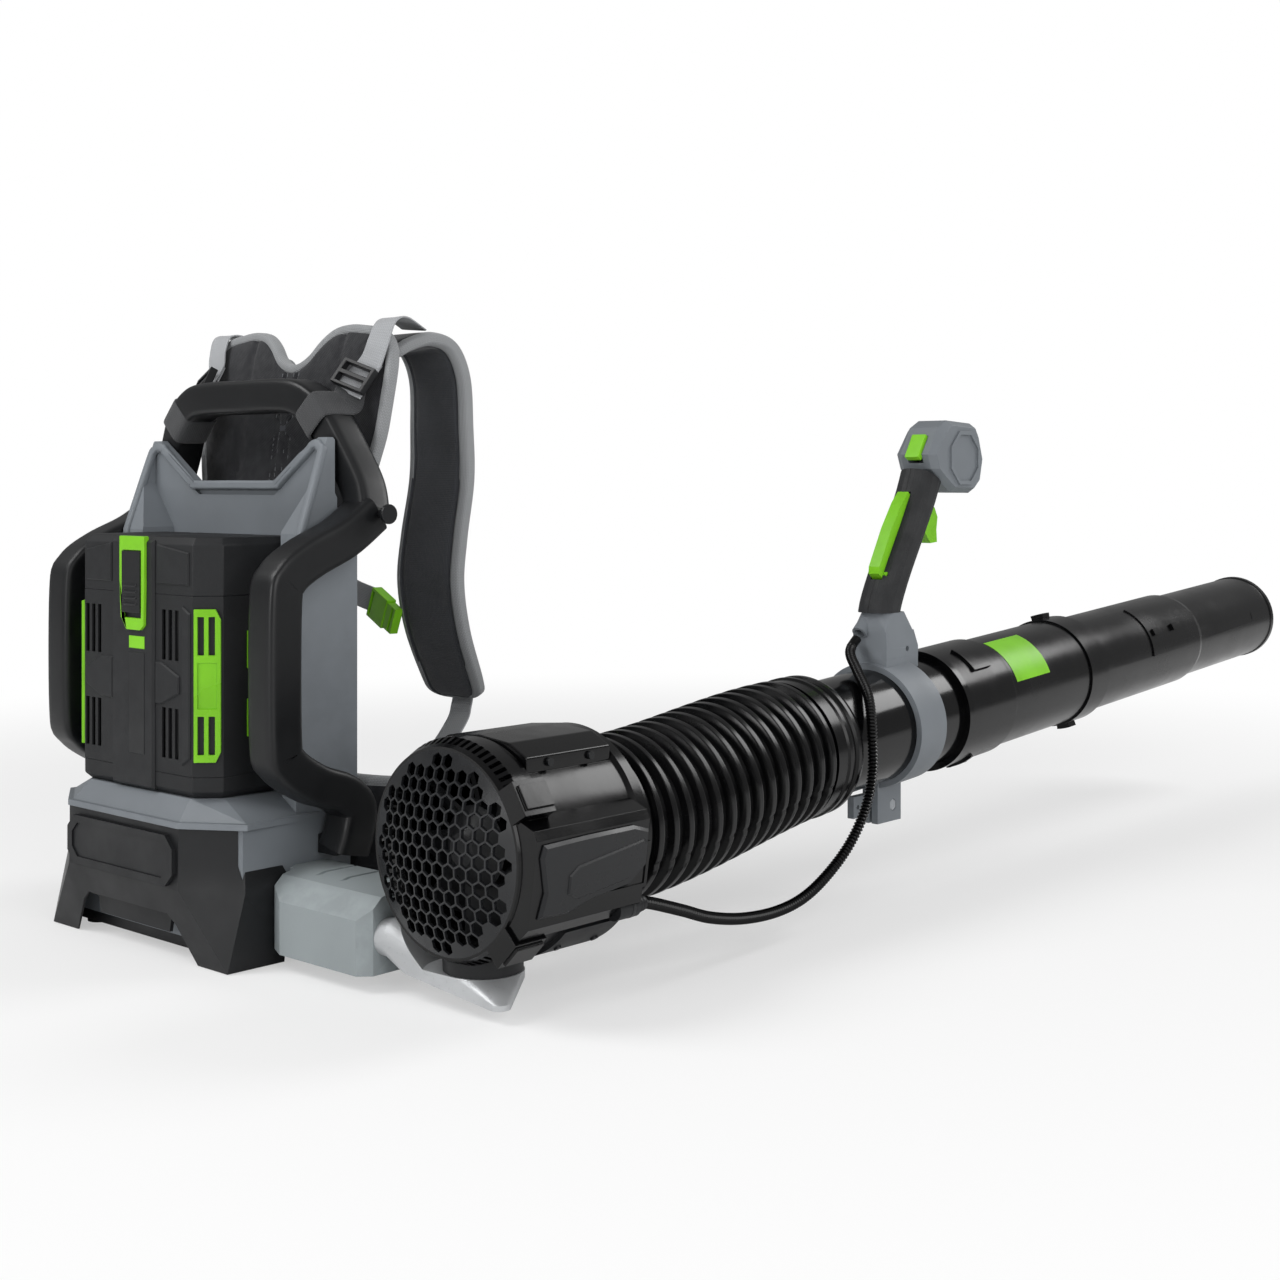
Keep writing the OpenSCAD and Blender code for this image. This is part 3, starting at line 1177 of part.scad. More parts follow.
// The pad narrows at its sewn creases and towards its ends
function pad_thickness(n) = [for (i = [0:n - 1]) let (u = i / (n - 1))
    pad_t * (0.62 + 0.38 * pow(sin(180 * min(1, max(0.03, u))), 0.5)) * (1 - 0.22 * pow(cos(180 * u * 4), 8))];
function pad_width(n) = [for (i = [0:n - 1]) let (u = i / (n - 1))
    pad_w * (1 - 0.16 * pow(abs(2 * u - 1), 6) - 0.06 * sin(360 * u))];
module shoulder_pad(route) {
    path = smooth(route, pad_steps);
    n = len(path);
    color(fabric) sweep(path, [1, 0, 0], pad_width(n), pad_thickness(n), 12, 0.5);
}
module shoulder_pad_right() { shoulder_pad(pad_right_path); }
module shoulder_pad_left() { shoulder_pad(pad_left_path); }

// The lower tapes start on the outer faces of the pads, and the lifting tapes loop round the carrying handle
lower_right = [[97, 189.4, 210], [97, 195.2, 191], [97, 193.5, 179], [98, 187, 166], [102, 160, 142], [108, 120, 118], [112, 90, 102], [113, 74, 92]];
// A loop of tape round the hoop's bend at loop_at, in the plane of Y and loop_out
loop_at = [bar_x - 49.8, 42.4, handle_z - 17.7];
function from_loop(p) = [for (q = p) q + [loop_at[0] - 96.2, 0, 0]];
loop_turn = 42.5;
loop_out = [cos(loop_turn), 0, sin(loop_turn)];
loop_along = [sin(loop_turn), 0, -cos(loop_turn)];
loop_y = 16.9;
loop_n = handle_t / 2 + webbing_t / 2 + 1;
function on_loop(a, b) = loop_at + [0, a, 0] + loop_out * b;
lifter_loop = [on_loop(loop_y, -3), on_loop(loop_y - 1.8, -loop_n + 1.8), on_loop(0, -loop_n - 0.3),
    on_loop(-loop_y + 1.8, -loop_n + 1.8), on_loop(-loop_y, 0), on_loop(-loop_y + 2.4, loop_n - 2.3),
    on_loop(0, loop_n), on_loop(loop_y - 3, loop_n + 0.8)];
lifter_rise = from_loop([[103.5, 63.5, 454], [106, 71, 465.5], [110, 78.6, 479], [114, 81, 495]]);
lifter_sides = concat([for (i = [0:len(lifter_loop)]) loop_along], [[0.8, 0, -0.6], [0.9, 0, -0.43], [0.97, 0, -0.25]],
    [for (i = [0:3]) [1, 0, 0]]);
lifter_right = concat(lifter_loop, lifter_rise, from_loop([[115, 87, 511.5], [109, 108, 516], [102, 134, 509]]));
lifter_left = concat(lifter_loop, lifter_rise, from_loop([[115, 87, 510.5], [109, 106, 508], [101, 128, 488]]));
function side_of(p, sx) = [for (q = p) [q[0] * sx, q[1], q[2]]];
module webbing(path, side) { sweep(smooth(path, 3), side, webbing_w, webbing_t, 4, 1); }
module harness_webbing() {
    color(binding) {
        for (sx = [-1, 1]) webbing(side_of(lower_right, sx), [1, 0, 0]);
        webbing(lifter_right, smooth(lifter_sides, 3));
        mirror([1, 0, 0]) webbing(lifter_left, smooth(lifter_sides, 3));
    }
}
module on_tape(p, w, side) {
    x = unit(side - (side * w) * w);
    y = cross(w, x);
    multmatrix([[x[0], y[0], w[0], p[0]], [x[1], y[1], w[1], p[1]], [x[2], y[2], w[2], p[2]], [0, 0, 0, 1]]) children();
}
module ladder_buckles() {
    color(black) for (sx = [-1, 1]) {
        mirror([sx < 0 ? 1 : 0, 0, 0]) on_tape(lifter_rise[0] * 0.25 + lifter_rise[1] * 0.75,
            unit(lifter_rise[1] - lifter_rise[0]), [0.8, 0, -0.6]) difference() {
            translate([-17, -9.1, -12]) cube([34, 7, 24]);
            for (z = [-9, 2]) translate([-13.5, -9.8, z]) cube([27, 8.4, 7]);
        }
        translate([sx * 102, 162.5, 138.9]) rotate([-51, 0, 0]) difference() {
            translate([-17, -3, -10]) cube([34, 6, 20]);
            for (z = [-7, 1]) translate([-13.5, -4, z]) cube([27, 8, 6]);
        }
    }
}
chest_z = 282;
module chest_strap() {
    color(binding) {
        sweep(smooth([[-60, 162.3, chest_z + 4], [-30, 163, chest_z], [-4, 160, chest_z - 6], [18, 157.5, chest_z - 10]],
            3), [0, 0.1, 1], webbing_w - 4, webbing_t, 4, 1);
    }
}
buckle_turn = 24;
module buckle_frame() {
    translate([39, 155, chest_z - 20]) rotate([0, buckle_turn, -8]) children();
}
module chest_buckle_socket() {
    color(green) buckle_frame() difference() {
        translate([-21, -5, -14]) cube([27, 10, 28]);
        translate([-14, -3.2, -11]) cube([30, 6.4, 22]);
        translate([-19, -6, -11]) cube([3, 12, 22]);
    }
}
module chest_buckle_plug() {
    color(green) buckle_frame() difference() {
        union() {
            translate([6 + seat_gap, -4, -12]) cube([14, 8, 24]);
            for (z = [-10, 5]) translate([-12, -2.6, z]) cube([20, 5.2, 5]);
        }
        translate([14, -6, -11]) cube([3, 12, 22]);
    }
}
hip_path = [[66, 59, 95], [96, 59, 95], [126, 66, 95], [150, 86, 95], [162, 118, 95], [166, 152, 93], [164, 176, 92]];
module hip_pads() {
    path = smooth(hip_path, 3);
    n = len(path);
    heights = [for (i = [0:n - 1]) hip_h * (1 - 0.35 * pow(i / (n - 1), 3))];
    color(fabric) mirror_copy() sweep(path, [0, 0, 1], heights, 17, 12, 0.5);
}

back_shell();
rear_panel();
base_body();
base_shroud();
bottom_plate();
rubber_feet();
battery_rails();
terminal_block();
motor_controller();
arm_block();
swing_arm();
arm_bolts();
carry_frame();
strap_hook();
back_pad();
harness_yoke();
shoulder_pad_left();
shoulder_pad_right();
harness_webbing();
ladder_buckles();
chest_strap();
chest_buckle_socket();
chest_buckle_plug();
hip_pads();
battery_case();
battery_top_cap();
battery_bottom_cap();
battery_cells();
battery_strip();
battery_side_frames();
battery_latch();
fan_housing();
intake_ring();
intake_guard();
guard_latches();
top_spine();
side_cover();
lower_cover();
stator_vanes();
motor_stator();
motor_bearings();
housing_screws();
hose_rear_cuff();
flex_hose();
hose_front_cuff();
control_conduit();
impeller();
motor_rotor();
handle_clamp();
clamp_bolt();
handle_bracket();
grip_shells();
grip_head();
trigger();
cruise_lever();
boost_button();
rear_tube();
middle_tube();
front_tube();
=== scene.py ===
import bpy
import bmesh
import json
import math
import numpy as np
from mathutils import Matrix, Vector

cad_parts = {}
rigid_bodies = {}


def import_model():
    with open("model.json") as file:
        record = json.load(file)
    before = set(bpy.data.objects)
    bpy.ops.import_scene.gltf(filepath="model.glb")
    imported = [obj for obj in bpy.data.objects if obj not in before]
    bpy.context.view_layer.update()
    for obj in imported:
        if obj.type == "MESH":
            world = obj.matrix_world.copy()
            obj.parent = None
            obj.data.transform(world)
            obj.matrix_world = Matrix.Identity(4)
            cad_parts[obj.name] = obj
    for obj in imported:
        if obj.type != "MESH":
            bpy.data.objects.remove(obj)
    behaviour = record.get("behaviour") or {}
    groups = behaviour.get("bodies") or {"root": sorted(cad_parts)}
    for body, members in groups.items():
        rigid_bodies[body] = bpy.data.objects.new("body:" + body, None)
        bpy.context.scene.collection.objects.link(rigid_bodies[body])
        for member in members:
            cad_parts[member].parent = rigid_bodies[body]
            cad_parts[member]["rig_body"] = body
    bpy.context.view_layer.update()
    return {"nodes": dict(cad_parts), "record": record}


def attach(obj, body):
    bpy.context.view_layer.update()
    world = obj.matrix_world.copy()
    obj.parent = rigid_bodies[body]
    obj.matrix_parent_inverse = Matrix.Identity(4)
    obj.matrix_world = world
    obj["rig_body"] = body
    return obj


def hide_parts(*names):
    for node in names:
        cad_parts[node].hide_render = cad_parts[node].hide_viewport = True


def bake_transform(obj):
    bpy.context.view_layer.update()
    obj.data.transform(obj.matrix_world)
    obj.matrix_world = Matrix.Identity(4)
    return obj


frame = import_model()
nodes = frame["nodes"]
print("frame loaded:", len(nodes), "parts")

# camera first, since the conduit is measured against its view
cameraSetup = {
    "place": (1.2823, -0.8894, 0.3793), "turn": 41.6, "lens": 50.625, "sensor": 36, "nearest": 0.02,
    "shiftX": -0.0078, "shiftY": -0.125,
}
cameraData = bpy.data.cameras.new("camera")
cameraData.lens = cameraSetup["lens"]
cameraData.sensor_width = cameraSetup["sensor"]
cameraData.shift_x = cameraSetup["shiftX"]
cameraData.shift_y = cameraSetup["shiftY"]
cameraData.clip_start = cameraSetup["nearest"]
camera = bpy.data.objects.new("camera", cameraData)
camera.location = cameraSetup["place"]
camera.rotation_euler = (math.pi / 2, 0, math.radians(cameraSetup["turn"]))
bpy.context.scene.collection.objects.link(camera)
bpy.context.scene.camera = camera
print("camera placed")


def linear(hexColour):
    # screen colour to the renderer's linear colour
    parts = [int(hexColour[i:i + 2], 16) / 255 for i in (1, 3, 5)]
    return tuple(c / 12.92 if c <= 0.04045 else ((c + 0.055) / 1.055) ** 2.4 for c in parts) + (1.0,)


# shader expressions
class Wire:
    # one output of a node; sums and products of it become Math nodes
    def __init__(self, book, socket):
        self.book = book
        self.socket = socket

    def join(self, operation, other, flipped=False):
        pair = (other, self) if flipped else (self, other)
        return self.book.node("ShaderNodeMath", {"operation": operation}, {0: pair[0], 1: pair[1]})

    def __add__(self, other): return self.join("ADD", other)
    def __radd__(self, other): return self.join("ADD", other, True)
    def __sub__(self, other): return self.join("SUBTRACT", other)
    def __rsub__(self, other): return self.join("SUBTRACT", other, True)
    def __mul__(self, other): return self.join("MULTIPLY", other)
    def __rmul__(self, other): return self.join("MULTIPLY", other, True)
    def __pow__(self, other): return self.join("POWER", other)
    def __rpow__(self, other): return self.join("POWER", other, True)
    def __abs__(self): return self.book.node("ShaderNodeMath", {"operation": "ABSOLUTE"}, {0: self})
    def sine(self): return self.book.node("ShaderNodeMath", {"operation": "SINE"}, {0: self})

    def spread(self, low, high, toLow=0.0, toHigh=1.0):
        # a smooth step from one value to another
        return self.book.node("ShaderNodeMapRange", {"interpolation_type": "SMOOTHSTEP"},
                              {0: self, 1: low, 2: high, 3: toLow, 4: toHigh})


class Finish:
    # one material, its principled shader and the node calls that feed it
    def __init__(self, name):
        self.material = bpy.data.materials.new(name)
        self.material.use_nodes = True
        self.tree = self.material.node_tree
        self.tree.nodes.clear()
        self.output = self.tree.nodes.new("ShaderNodeOutputMaterial")
        self.shader = self.tree.nodes.new("ShaderNodeBsdfPrincipled")
        self.tree.links.new(self.shader.outputs[0], self.output.inputs[0])

    def node(self, kind, settings=None, sockets=None, out=0):
        made = self.tree.nodes.new(kind)
        for key, value in (settings or {}).items():
            setattr(made, key, value)
        for key, value in (sockets or {}).items():
            self.plug(made.inputs[key], value)
        return Wire(self, made.outputs[out])

    def plug(self, socket, value):
        if isinstance(value, Wire):
            self.tree.links.new(value.socket, socket)
        elif value is not None:
            socket.default_value = value

    def place(self, scale=(1, 1, 1), which="Object"):
        source = self.node("ShaderNodeTexCoord", out=which)
        if scale == (1, 1, 1):
            return source
        return self.node("ShaderNodeMapping", None, {"Vector": source, "Scale": scale})

    def axes(self, which="Object"):
        apart = self.node("ShaderNodeSeparateXYZ", None, {0: self.place(which=which)})
        return [Wire(self, apart.socket.node.outputs[i]) for i in range(3)]

    def noise(self, scale, detail=2.0, roughness=0.5, stretch=(1, 1, 1), which="Object"):
        return self.node("ShaderNodeTexNoise", None, {"Vector": self.place(stretch, which), "Scale": scale,
                         "Detail": detail, "Roughness": roughness})

    def cells(self, scale, randomness):
        return self.node("ShaderNodeTexVoronoi", None,
                         {"Vector": self.place(), "Scale": scale, "Randomness": randomness})

    def mix(self, factor, first, second):
        return self.node("ShaderNodeMix", {"data_type": "RGBA"}, {0: factor, 6: first, 7: second}, out=2)

    def edges(self, low, high):
        return self.node("ShaderNodeNewGeometry", out="Pointiness").spread(low, high)

    def bump(self, height, strength, distance, under=None):
        sockets = {"Height": height, "Strength": strength, "Distance": distance}
        if under is not None:
            sockets["Normal"] = under
        return self.node("ShaderNodeBump", None, sockets)

    def close(self, **sockets):
        for key, value in sockets.items():
            self.plug(self.shader.inputs[key.replace("_", " ")], value)
        return self.material


def shade(hexColour, factor):
    # the colour, lighter or darker
    return tuple(min(1, c * factor) for c in linear(hexColour)[:3]) + (1.0,)


# fine spark-eroded texture of injection mouldings, with edges lightened partly as wear and partly as a
# painted highlight
def mouldedPlastic(name, colour, roughness=0.52, grain=0.10, wearAndHighlight=0.25, grainSize=1500):
    f = Finish(name)
    cloud = f.noise(9, 3)
    speck = f.noise(grainSize, 1.5)
    # convex edges, in patches, get a lighter colour and less roughness: partly rubbed wear, partly a painted
    # highlight along the edges
    edgeWearAndHighlight = f.edges(0.53, 0.62) * f.noise(70, 4).spread(0.35, 0.65) * wearAndHighlight
    tone = f.mix(cloud.spread(0.3, 0.7), shade(colour, 0.92), shade(colour, 1.07))
    tone = f.mix(edgeWearAndHighlight, tone, shade(colour, 1.7))
    tone = f.mix(f.noise(260, 2).spread(0.62, 0.8) * 0.12, tone, shade(colour, 0.75))
    rough = f.noise(22, 3).spread(0.3, 0.7, roughness - 0.06, roughness + 0.06) - edgeWearAndHighlight * 0.12
    return f.close(Base_Color=tone, Roughness=rough, IOR=1.4, Normal=f.bump(speck, grain, 0.0006))


# smooth moulding with a faint ripple, dust, hairline scuffs and a painted highlight along its sharp edges
def glossPlastic(name, colour, roughness=0.16, ripple=0.05, scuffs=0.5, lift=2.2, index=1.36):
    f = Finish(name)
    smear = f.noise(14, 4, 0.6)
    hair = f.noise(60, 6, 0.7, (1, 0.08, 1)).spread(0.62, 0.72) * scuffs
    dust = f.noise(420, 2).spread(0.68, 0.78) * 0.25 * scuffs
    tone = f.mix(smear.spread(0.3, 0.75), shade(colour, 0.85), shade(colour, 1.1))
    # dust specks and a painted highlight on sharp edges both lighten the colour towards lift
    tone = f.mix(dust + f.edges(0.55, 0.66) * 0.3, tone, shade(colour, lift))
    rough = smear.spread(0.3, 0.7, roughness * 0.8, roughness * 1.4) + hair * 0.14
    return f.close(Base_Color=tone, Roughness=rough, IOR=index,
                   Normal=f.bump(f.noise(160, 2), ripple, 0.0008))


# sand-cast alloy, rubbed bright along its edges
def castMetal(name, colour="#c4c6c8", roughness=0.5):
    f = Finish(name)
    sand = f.noise(900, 3, 0.6)
    worn = f.edges(0.52, 0.6)
    tone = f.mix(f.noise(20, 4).spread(0.3, 0.7), shade(colour, 0.86), shade(colour, 1.04))
    tone = f.mix(f.noise(300, 2).spread(0.6, 0.75) * 0.3, tone, shade(colour, 0.6))
    rough = f.noise(40, 3).spread(0.3, 0.7, roughness - 0.06, roughness + 0.1) - worn * 0.12
    return f.close(Base_Color=tone, Metallic=0.45, Roughness=rough, Normal=f.bump(sand, 0.3, 0.0005))


# steel with fine tool lines round it
def turnedSteel(name, colour="#a9adb1", roughness=0.3):
    f = Finish(name)
    lines = f.noise(500, 3, 0.6, (1, 1, 0.1))
    tone = f.mix(f.noise(60, 3), shade(colour, 0.8), shade(colour, 1.1))
    rough = lines.spread(0.3, 0.7, roughness - 0.08, roughness + 0.12)
    return f.close(Base_Color=tone, Metallic=1.0, Roughness=rough, Normal=f.bump(lines, 0.12, 0.0003))


# over-moulded rubber, covered in small raised dots, with the parting line of the two halves
def gripRubber(name, colour="#17181a", partingAt=0.331):
    f = Finish(name)
    dots = 1 - f.cells(420, 0.15).spread(0.12, 0.42)
    line = 1 - abs(f.axes()[0] - partingAt).spread(0.0003, 0.0008)
    tone = f.mix(f.noise(30, 3).spread(0.3, 0.7), shade(colour, 0.85), shade(colour, 1.25))
    tone = f.mix(line * 0.7, tone, shade(colour, 0.3))
    ground = f.bump(dots, 0.35, 0.0005)
    return f.close(Base_Color=tone, Roughness=f.noise(50, 2).spread(0.3, 0.7, 0.6, 0.76),
                   Normal=f.bump(1 - line, 0.8, 0.0006, ground))


# plain weave: warp and weft rise in turn, in metres along the piece's own cloth
def wovenCloth(name, colour, threads=900, strength=0.55, sheen=0.3, slub=0.18):
    f = Finish(name)
    u, v, _ = f.axes("UV")
    warp = (u * (threads * math.pi)).sine()
    weft = (v * (threads * math.pi)).sine()
    weave = (warp * weft) * 0.5 + 0.5
    thread = f.noise(threads * 0.7, 2, which="UV", stretch=(1, 0.12, 1))
    fade = f.noise(16, 4, which="UV")
    # the lower squares of the weave are painted darker and the raised ones lighter, as shade and light on the
    # threads
    tone = f.mix(weave, shade(colour, 0.7), shade(colour, 1.15))
    tone = f.mix(thread.spread(0.35, 0.7) * slub, tone, shade(colour, 1.9))
    tone = f.mix(fade.spread(0.35, 0.7) * 0.2, tone, shade(colour, 1.4))
    return f.close(Base_Color=tone, Roughness=f.noise(120, 2, which="UV").spread(0.3, 0.7, 0.78, 0.94),
                   Sheen_Weight=sheen, Sheen_Roughness=0.4,
                   Normal=f.bump(f.noise(45, 4, which="UV"), 0.25, 0.004, f.bump(weave, strength, 0.0004)))


# knitted spacer mesh with rows of small round holes
def airMesh(name, colour="#36383c", pitch=0.0032):
    f = Finish(name)
    u, v, _ = f.axes("UV")
    row = (u * (2 * math.pi / pitch)).sine() * (v * (2 * math.pi / pitch)).sine()
    holes = abs(row).spread(0.55, 0.8)
    # the holes are painted dark, as shade inside them, and the knit between them lighter
    tone = f.mix(holes, shade(colour, 1.35), shade(colour, 0.35))
    tone = f.mix(f.noise(22, 4, which="UV").spread(0.35, 0.7) * 0.2, tone, shade(colour, 1.9))
    return f.close(Base_Color=tone, Roughness=0.86, Sheen_Weight=0.3, Sheen_Roughness=0.4,
                   Normal=f.bump(f.noise(60, 4, which="UV"), 0.22, 0.003, f.bump(1 - holes, 0.7, 0.0006)))


# ribbed tape: fine lengthwise cords crossed by a herringbone
def wovenTape(name, colour="#97999b"):
    f = Finish(name)
    u, v, _ = f.axes("UV")
    cords = abs((v * (math.pi / 0.0014)).sine())
    slant = ((u * (2 * math.pi / 0.0024)) + (v * (2 * math.pi / 0.0028)).sine() * 1.6).sine() * 0.5 + 0.5
    height = cords * 0.6 + slant * 0.4
    # the low parts between the cords and the slant are painted darker, as shade, and the high parts lighter
    tone = f.mix(height, shade(colour, 0.62), shade(colour, 1.12))
    tone = f.mix(f.noise(40, 3, which="UV").spread(0.4, 0.7) * 0.25, tone, shade(colour, 0.8))
    return f.close(Base_Color=tone, Roughness=0.8, Sheen_Weight=0.25, Sheen_Roughness=0.4,
                   Normal=f.bump(height, 0.6, 0.0005))


finishes = {
    "shellPlastic": mouldedPlastic("shellPlastic", "#72777c", 0.5, 0.09, 0.22),
    "armBlockPlastic": mouldedPlastic("armBlockPlastic", "#8b9294", 0.55, 0.12, 0.2),
    "blackPlastic": mouldedPlastic("blackPlastic", "#141517", 0.46, 0.08, 0.22),
    "barPlastic": mouldedPlastic("barPlastic", "#101113", 0.4, 0.05, 0.3),
    "batteryPlastic": mouldedPlastic("batteryPlastic", "#191a1c", 0.56, 0.2, 0.3, 1100),
    "latchPlastic": mouldedPlastic("latchPlastic", "#151618", 0.4, 0.06, 0.3),
    "greenPlastic": glossPlastic("greenPlastic", "#7cc424", 0.3, 0.04, 0.3, 1.25),
    "castMetal": castMetal("castMetal"),
    "heatSink": turnedSteel("heatSink", "#a3a6a8", 0.4),
    "steel": turnedSteel("steel"),
    "cellSleeve": glossPlastic("cellSleeve", "#131416", 0.4, 0.03, 0.3),
    "glossBlack": glossPlastic("glossBlack", "#060607", 0.2, 0.05, 0.3, 1.8),
    "mirrorBlack": glossPlastic("mirrorBlack", "#060607", 0.12, 0.02, 0.3),
    "hosePlastic": glossPlastic("hosePlastic", "#040405", 0.22, 0.06, 0.25, 1.6),
    "guardPlastic": glossPlastic("guardPlastic", "#1d1e20", 0.3, 0.04, 0.4, 2.0, 1.45),
    "gripRubber": gripRubber("gripRubber"),
    "footRubber": mouldedPlastic("footRubber", "#191a1b", 0.78, 0.3, 0.1, 700),
    "cloth": wovenCloth("cloth", "#1b1c20"),
    "airMesh": airMesh("airMesh"),
    "binding": wovenTape("binding", "#929496"),
    "webbing": wovenTape("webbing", "#a6a8ab"),
    "darkWebbing": wovenTape("darkWebbing", "#3a3b3d"),
    "coverBlack": glossPlastic("coverBlack", "#1b1c1e", 0.3, 0.03, 0.6, 1.6),
    "thread": mouldedPlastic("thread", "#6d6f72", 0.8, 0.3, 0.0, 600),
}
print("finishes ready:", len(finishes))


# surface helpers, everything in metres
def weave(name, points, closedAround=True, caps=True, uv=None):
    # points is rows x columns x 3; columns go round, rows go along
    rows, cols = points.shape[:2]
    around = cols if closedAround else cols - 1
    r, c = np.meshgrid(np.arange(rows - 1), np.arange(around), indexing="ij")
    a = r * cols + c
    b = r * cols + (c + 1) % cols
    faces = np.stack([a, b, b + cols, a + cols], -1).reshape(-1, 4).tolist()
    if caps and closedAround:
        faces += [list(range(cols))[::-1], list(range((rows - 1) * cols, rows * cols))]
    mesh = bpy.data.meshes.new(name)
    mesh.from_pydata(points.reshape(-1, 3).tolist(), [], faces)
    mesh.update()
    if uv is not None:
        # uv is rows x (columns + 1) x 2, so that the seam keeps its scale
        layer = mesh.uv_layers.new(name="UVMap")
        wide = uv.shape[1]
        near, far = r * wide + c, (r + 1) * wide + c
        k = np.stack([near, near + 1, far + 1, far], -1).reshape(-1, 4)
        flat = uv.reshape(-1, 2)[k.reshape(-1)]
        rest = np.zeros((len(layer.data) - len(flat), 2))
        layer.data.foreach_set("uv", np.concatenate([flat, rest]).ravel())
    piece = bpy.data.objects.new(name, mesh)
    bpy.context.scene.collection.objects.link(piece)
    return piece


def rounded(piece, angle=40):
    # smooth shading, with edges sharper than the angle kept
    mesh = piece.data
    mesh.shade_smooth()
    bm = bmesh.new()
    bm.from_mesh(mesh)
    limit = math.radians(angle)
    for edge in bm.edges:
        if len(edge.link_faces) == 2 and edge.calc_face_angle(0) > limit:
            edge.smooth = False
    bm.to_mesh(mesh)
    bm.free()
    return piece


def outward(piece):
    # turns every face's front to the outside
    bm = bmesh.new()
    bm.from_mesh(piece.data)
    bmesh.ops.recalc_face_normals(bm, faces=bm.faces)
    bm.to_mesh(piece.data)
    bm.free()
    return piece


def weld(piece):
    # joins the doubled ring where a closed band meets itself
    bm = bmesh.new()
    bm.from_mesh(piece.data)
    bmesh.ops.remove_doubles(bm, verts=bm.verts, dist=1e-6)
    bm.to_mesh(piece.data)
    bm.free()
    return piece


def smoothPath(points, steps):
    # Catmull-Rom through the points, the ends held
    p = np.asarray(points, float)
    q = np.vstack([p[:1], p, p[-1:]])
    u = (np.arange(steps) / steps)[None, :, None]
    a, b, c, d = (q[i:i + len(p) - 1, None, :] for i in range(4))
    bend = (2 * a - 5 * b + 4 * c - d) * u ** 2 + (3 * b - a - 3 * c + d) * u ** 3
    inner = 0.5 * (2 * b + (c - a) * u + bend)
    return np.vstack([inner.reshape(-1, p.shape[1]), p[-1:]])


def runLength(path):
    # length from the start to each point, as a running sum of the steps
    return np.concatenate([[0], np.cumsum(np.linalg.norm(np.diff(path, axis=0), axis=1))])


def evenPath(path, count):
    # points at even steps of length along the path
    s = runLength(path)
    t = np.linspace(0, s[-1], count)
    return np.stack([np.interp(t, s, path[:, i]) for i in range(3)], 1)


def unitRows(v):
    # each row divided by its length
    return v / np.maximum(np.linalg.norm(v, axis=-1, keepdims=True), 1e-12)


def directions(path):
    # from the point before to the point after, one metre long
    ahead = np.vstack([path[1:], path[-1:]])
    behind = np.vstack([path[:1], path[:-1]])
    return unitRows(ahead - behind)


def sweepBand(path, side, profile):
    # profile is rows x columns x 2, offsets along the side and across it
    way = directions(path)
    side = np.broadcast_to(np.asarray(side, float), path.shape)
    wide = unitRows(side - np.sum(side * way, 1, keepdims=True) * way)
    deep = np.cross(way, wide)
    return path[:, None, :] + profile[..., :1] * wide[:, None, :] + profile[..., 1:] * deep[:, None, :]


def clothUV(points):
    # metres along the rows and round the columns, for the weave
    ring = np.concatenate([points, points[:, :1]], 1)
    steps = np.linalg.norm(np.diff(ring, axis=1), axis=2)
    v = np.concatenate([np.zeros((len(points), 1)), np.cumsum(steps, 1)], 1)
    v = v - v.mean(1, keepdims=True)
    u = runLength(points.mean(1))[:, None] * np.ones_like(v)
    return np.stack([u, np.broadcast_to(v[len(v) // 2], v.shape)], -1)


def signedPower(v, e):
    # a power of the size that keeps the sign: below 1 it squares a circle
    return np.sign(v) * np.abs(v) ** e


# the blowing line starts at the middle of the air intake and rises slightly forwards
lineTilt = math.radians(4)
blowingLine = {
    "start": (0.331, -0.0365, 0.116),
    "way": np.array([0, math.cos(lineTilt), math.sin(lineTilt)]),
    "up": np.array([0, -math.sin(lineTilt), math.cos(lineTilt)]),
}


def onLine(t, radius=None, phi=None):
    # a place on the blowing line, or on its surface at an angle from the top
    spot = np.array(blowingLine["start"]) + np.multiply.outer(np.asarray(t, float), blowingLine["way"])
    if radius is None:
        return spot
    sideways = np.sin(phi)[..., None] * np.array([1, 0, 0])
    return spot + radius * (sideways + np.cos(phi)[..., None] * blowingLine["up"])


def dress(piece, body, finish, slotName, replaced=()):
    # finish and body of a piece, and the nodes it stands for, which are hidden; the slot name is not used
    if not piece.data.materials:
        piece.data.materials.append(finishes[finish])
    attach(piece, body)
    if replaced:
        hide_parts(*replaced)
    return piece


# rigid parts: a copy of each solid with broken edges
def refine(node, finish, edge, segments=2, angle=19, smoothBelow=32):
    source = nodes[node]
    mesh = source.data.copy()
    piece = bpy.data.objects.new(node + "_shape", mesh)
    bpy.context.scene.collection.objects.link(piece)
    bm = bmesh.new()
    bm.from_mesh(mesh)
    bmesh.ops.remove_doubles(bm, verts=bm.verts, dist=1e-5)
    bmesh.ops.dissolve_limit(bm, angle_limit=math.radians(1.2), verts=bm.verts, edges=bm.edges)
    bm.to_mesh(mesh)
    bm.free()
    mesh.materials.clear()
    mesh.materials.append(finishes[finish])
    bpy.context.view_layer.objects.active = piece
    bevel = piece.modifiers.new("edges", "BEVEL")
    bevel.width = edge
    bevel.segments = segments
    bevel.limit_method = "ANGLE"
    bevel.angle_limit = math.radians(angle)
    bevel.use_clamp_overlap = True
    bevel.harden_normals = False
    bpy.ops.object.select_all(action="DESELECT")
    piece.select_set(True)
    bpy.ops.object.modifier_apply(modifier="edges")
    rounded(piece, smoothBelow)
    faces = piece.modifiers.new("faces", "WEIGHTED_NORMAL")
    faces.keep_sharp = True
    bpy.ops.object.modifier_apply(modifier="faces")
    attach(piece, source["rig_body"])
    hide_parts(node)
    return piece


def paint(finish, *names):
    # the solid itself stays, with a better surface
    for name in names:
        mesh = nodes[name].data
        mesh.materials.clear()
        mesh.materials.append(finishes[finish])


slotOf = {part["node"]: part["material_slot"] for part in frame["record"]["subparts"]}
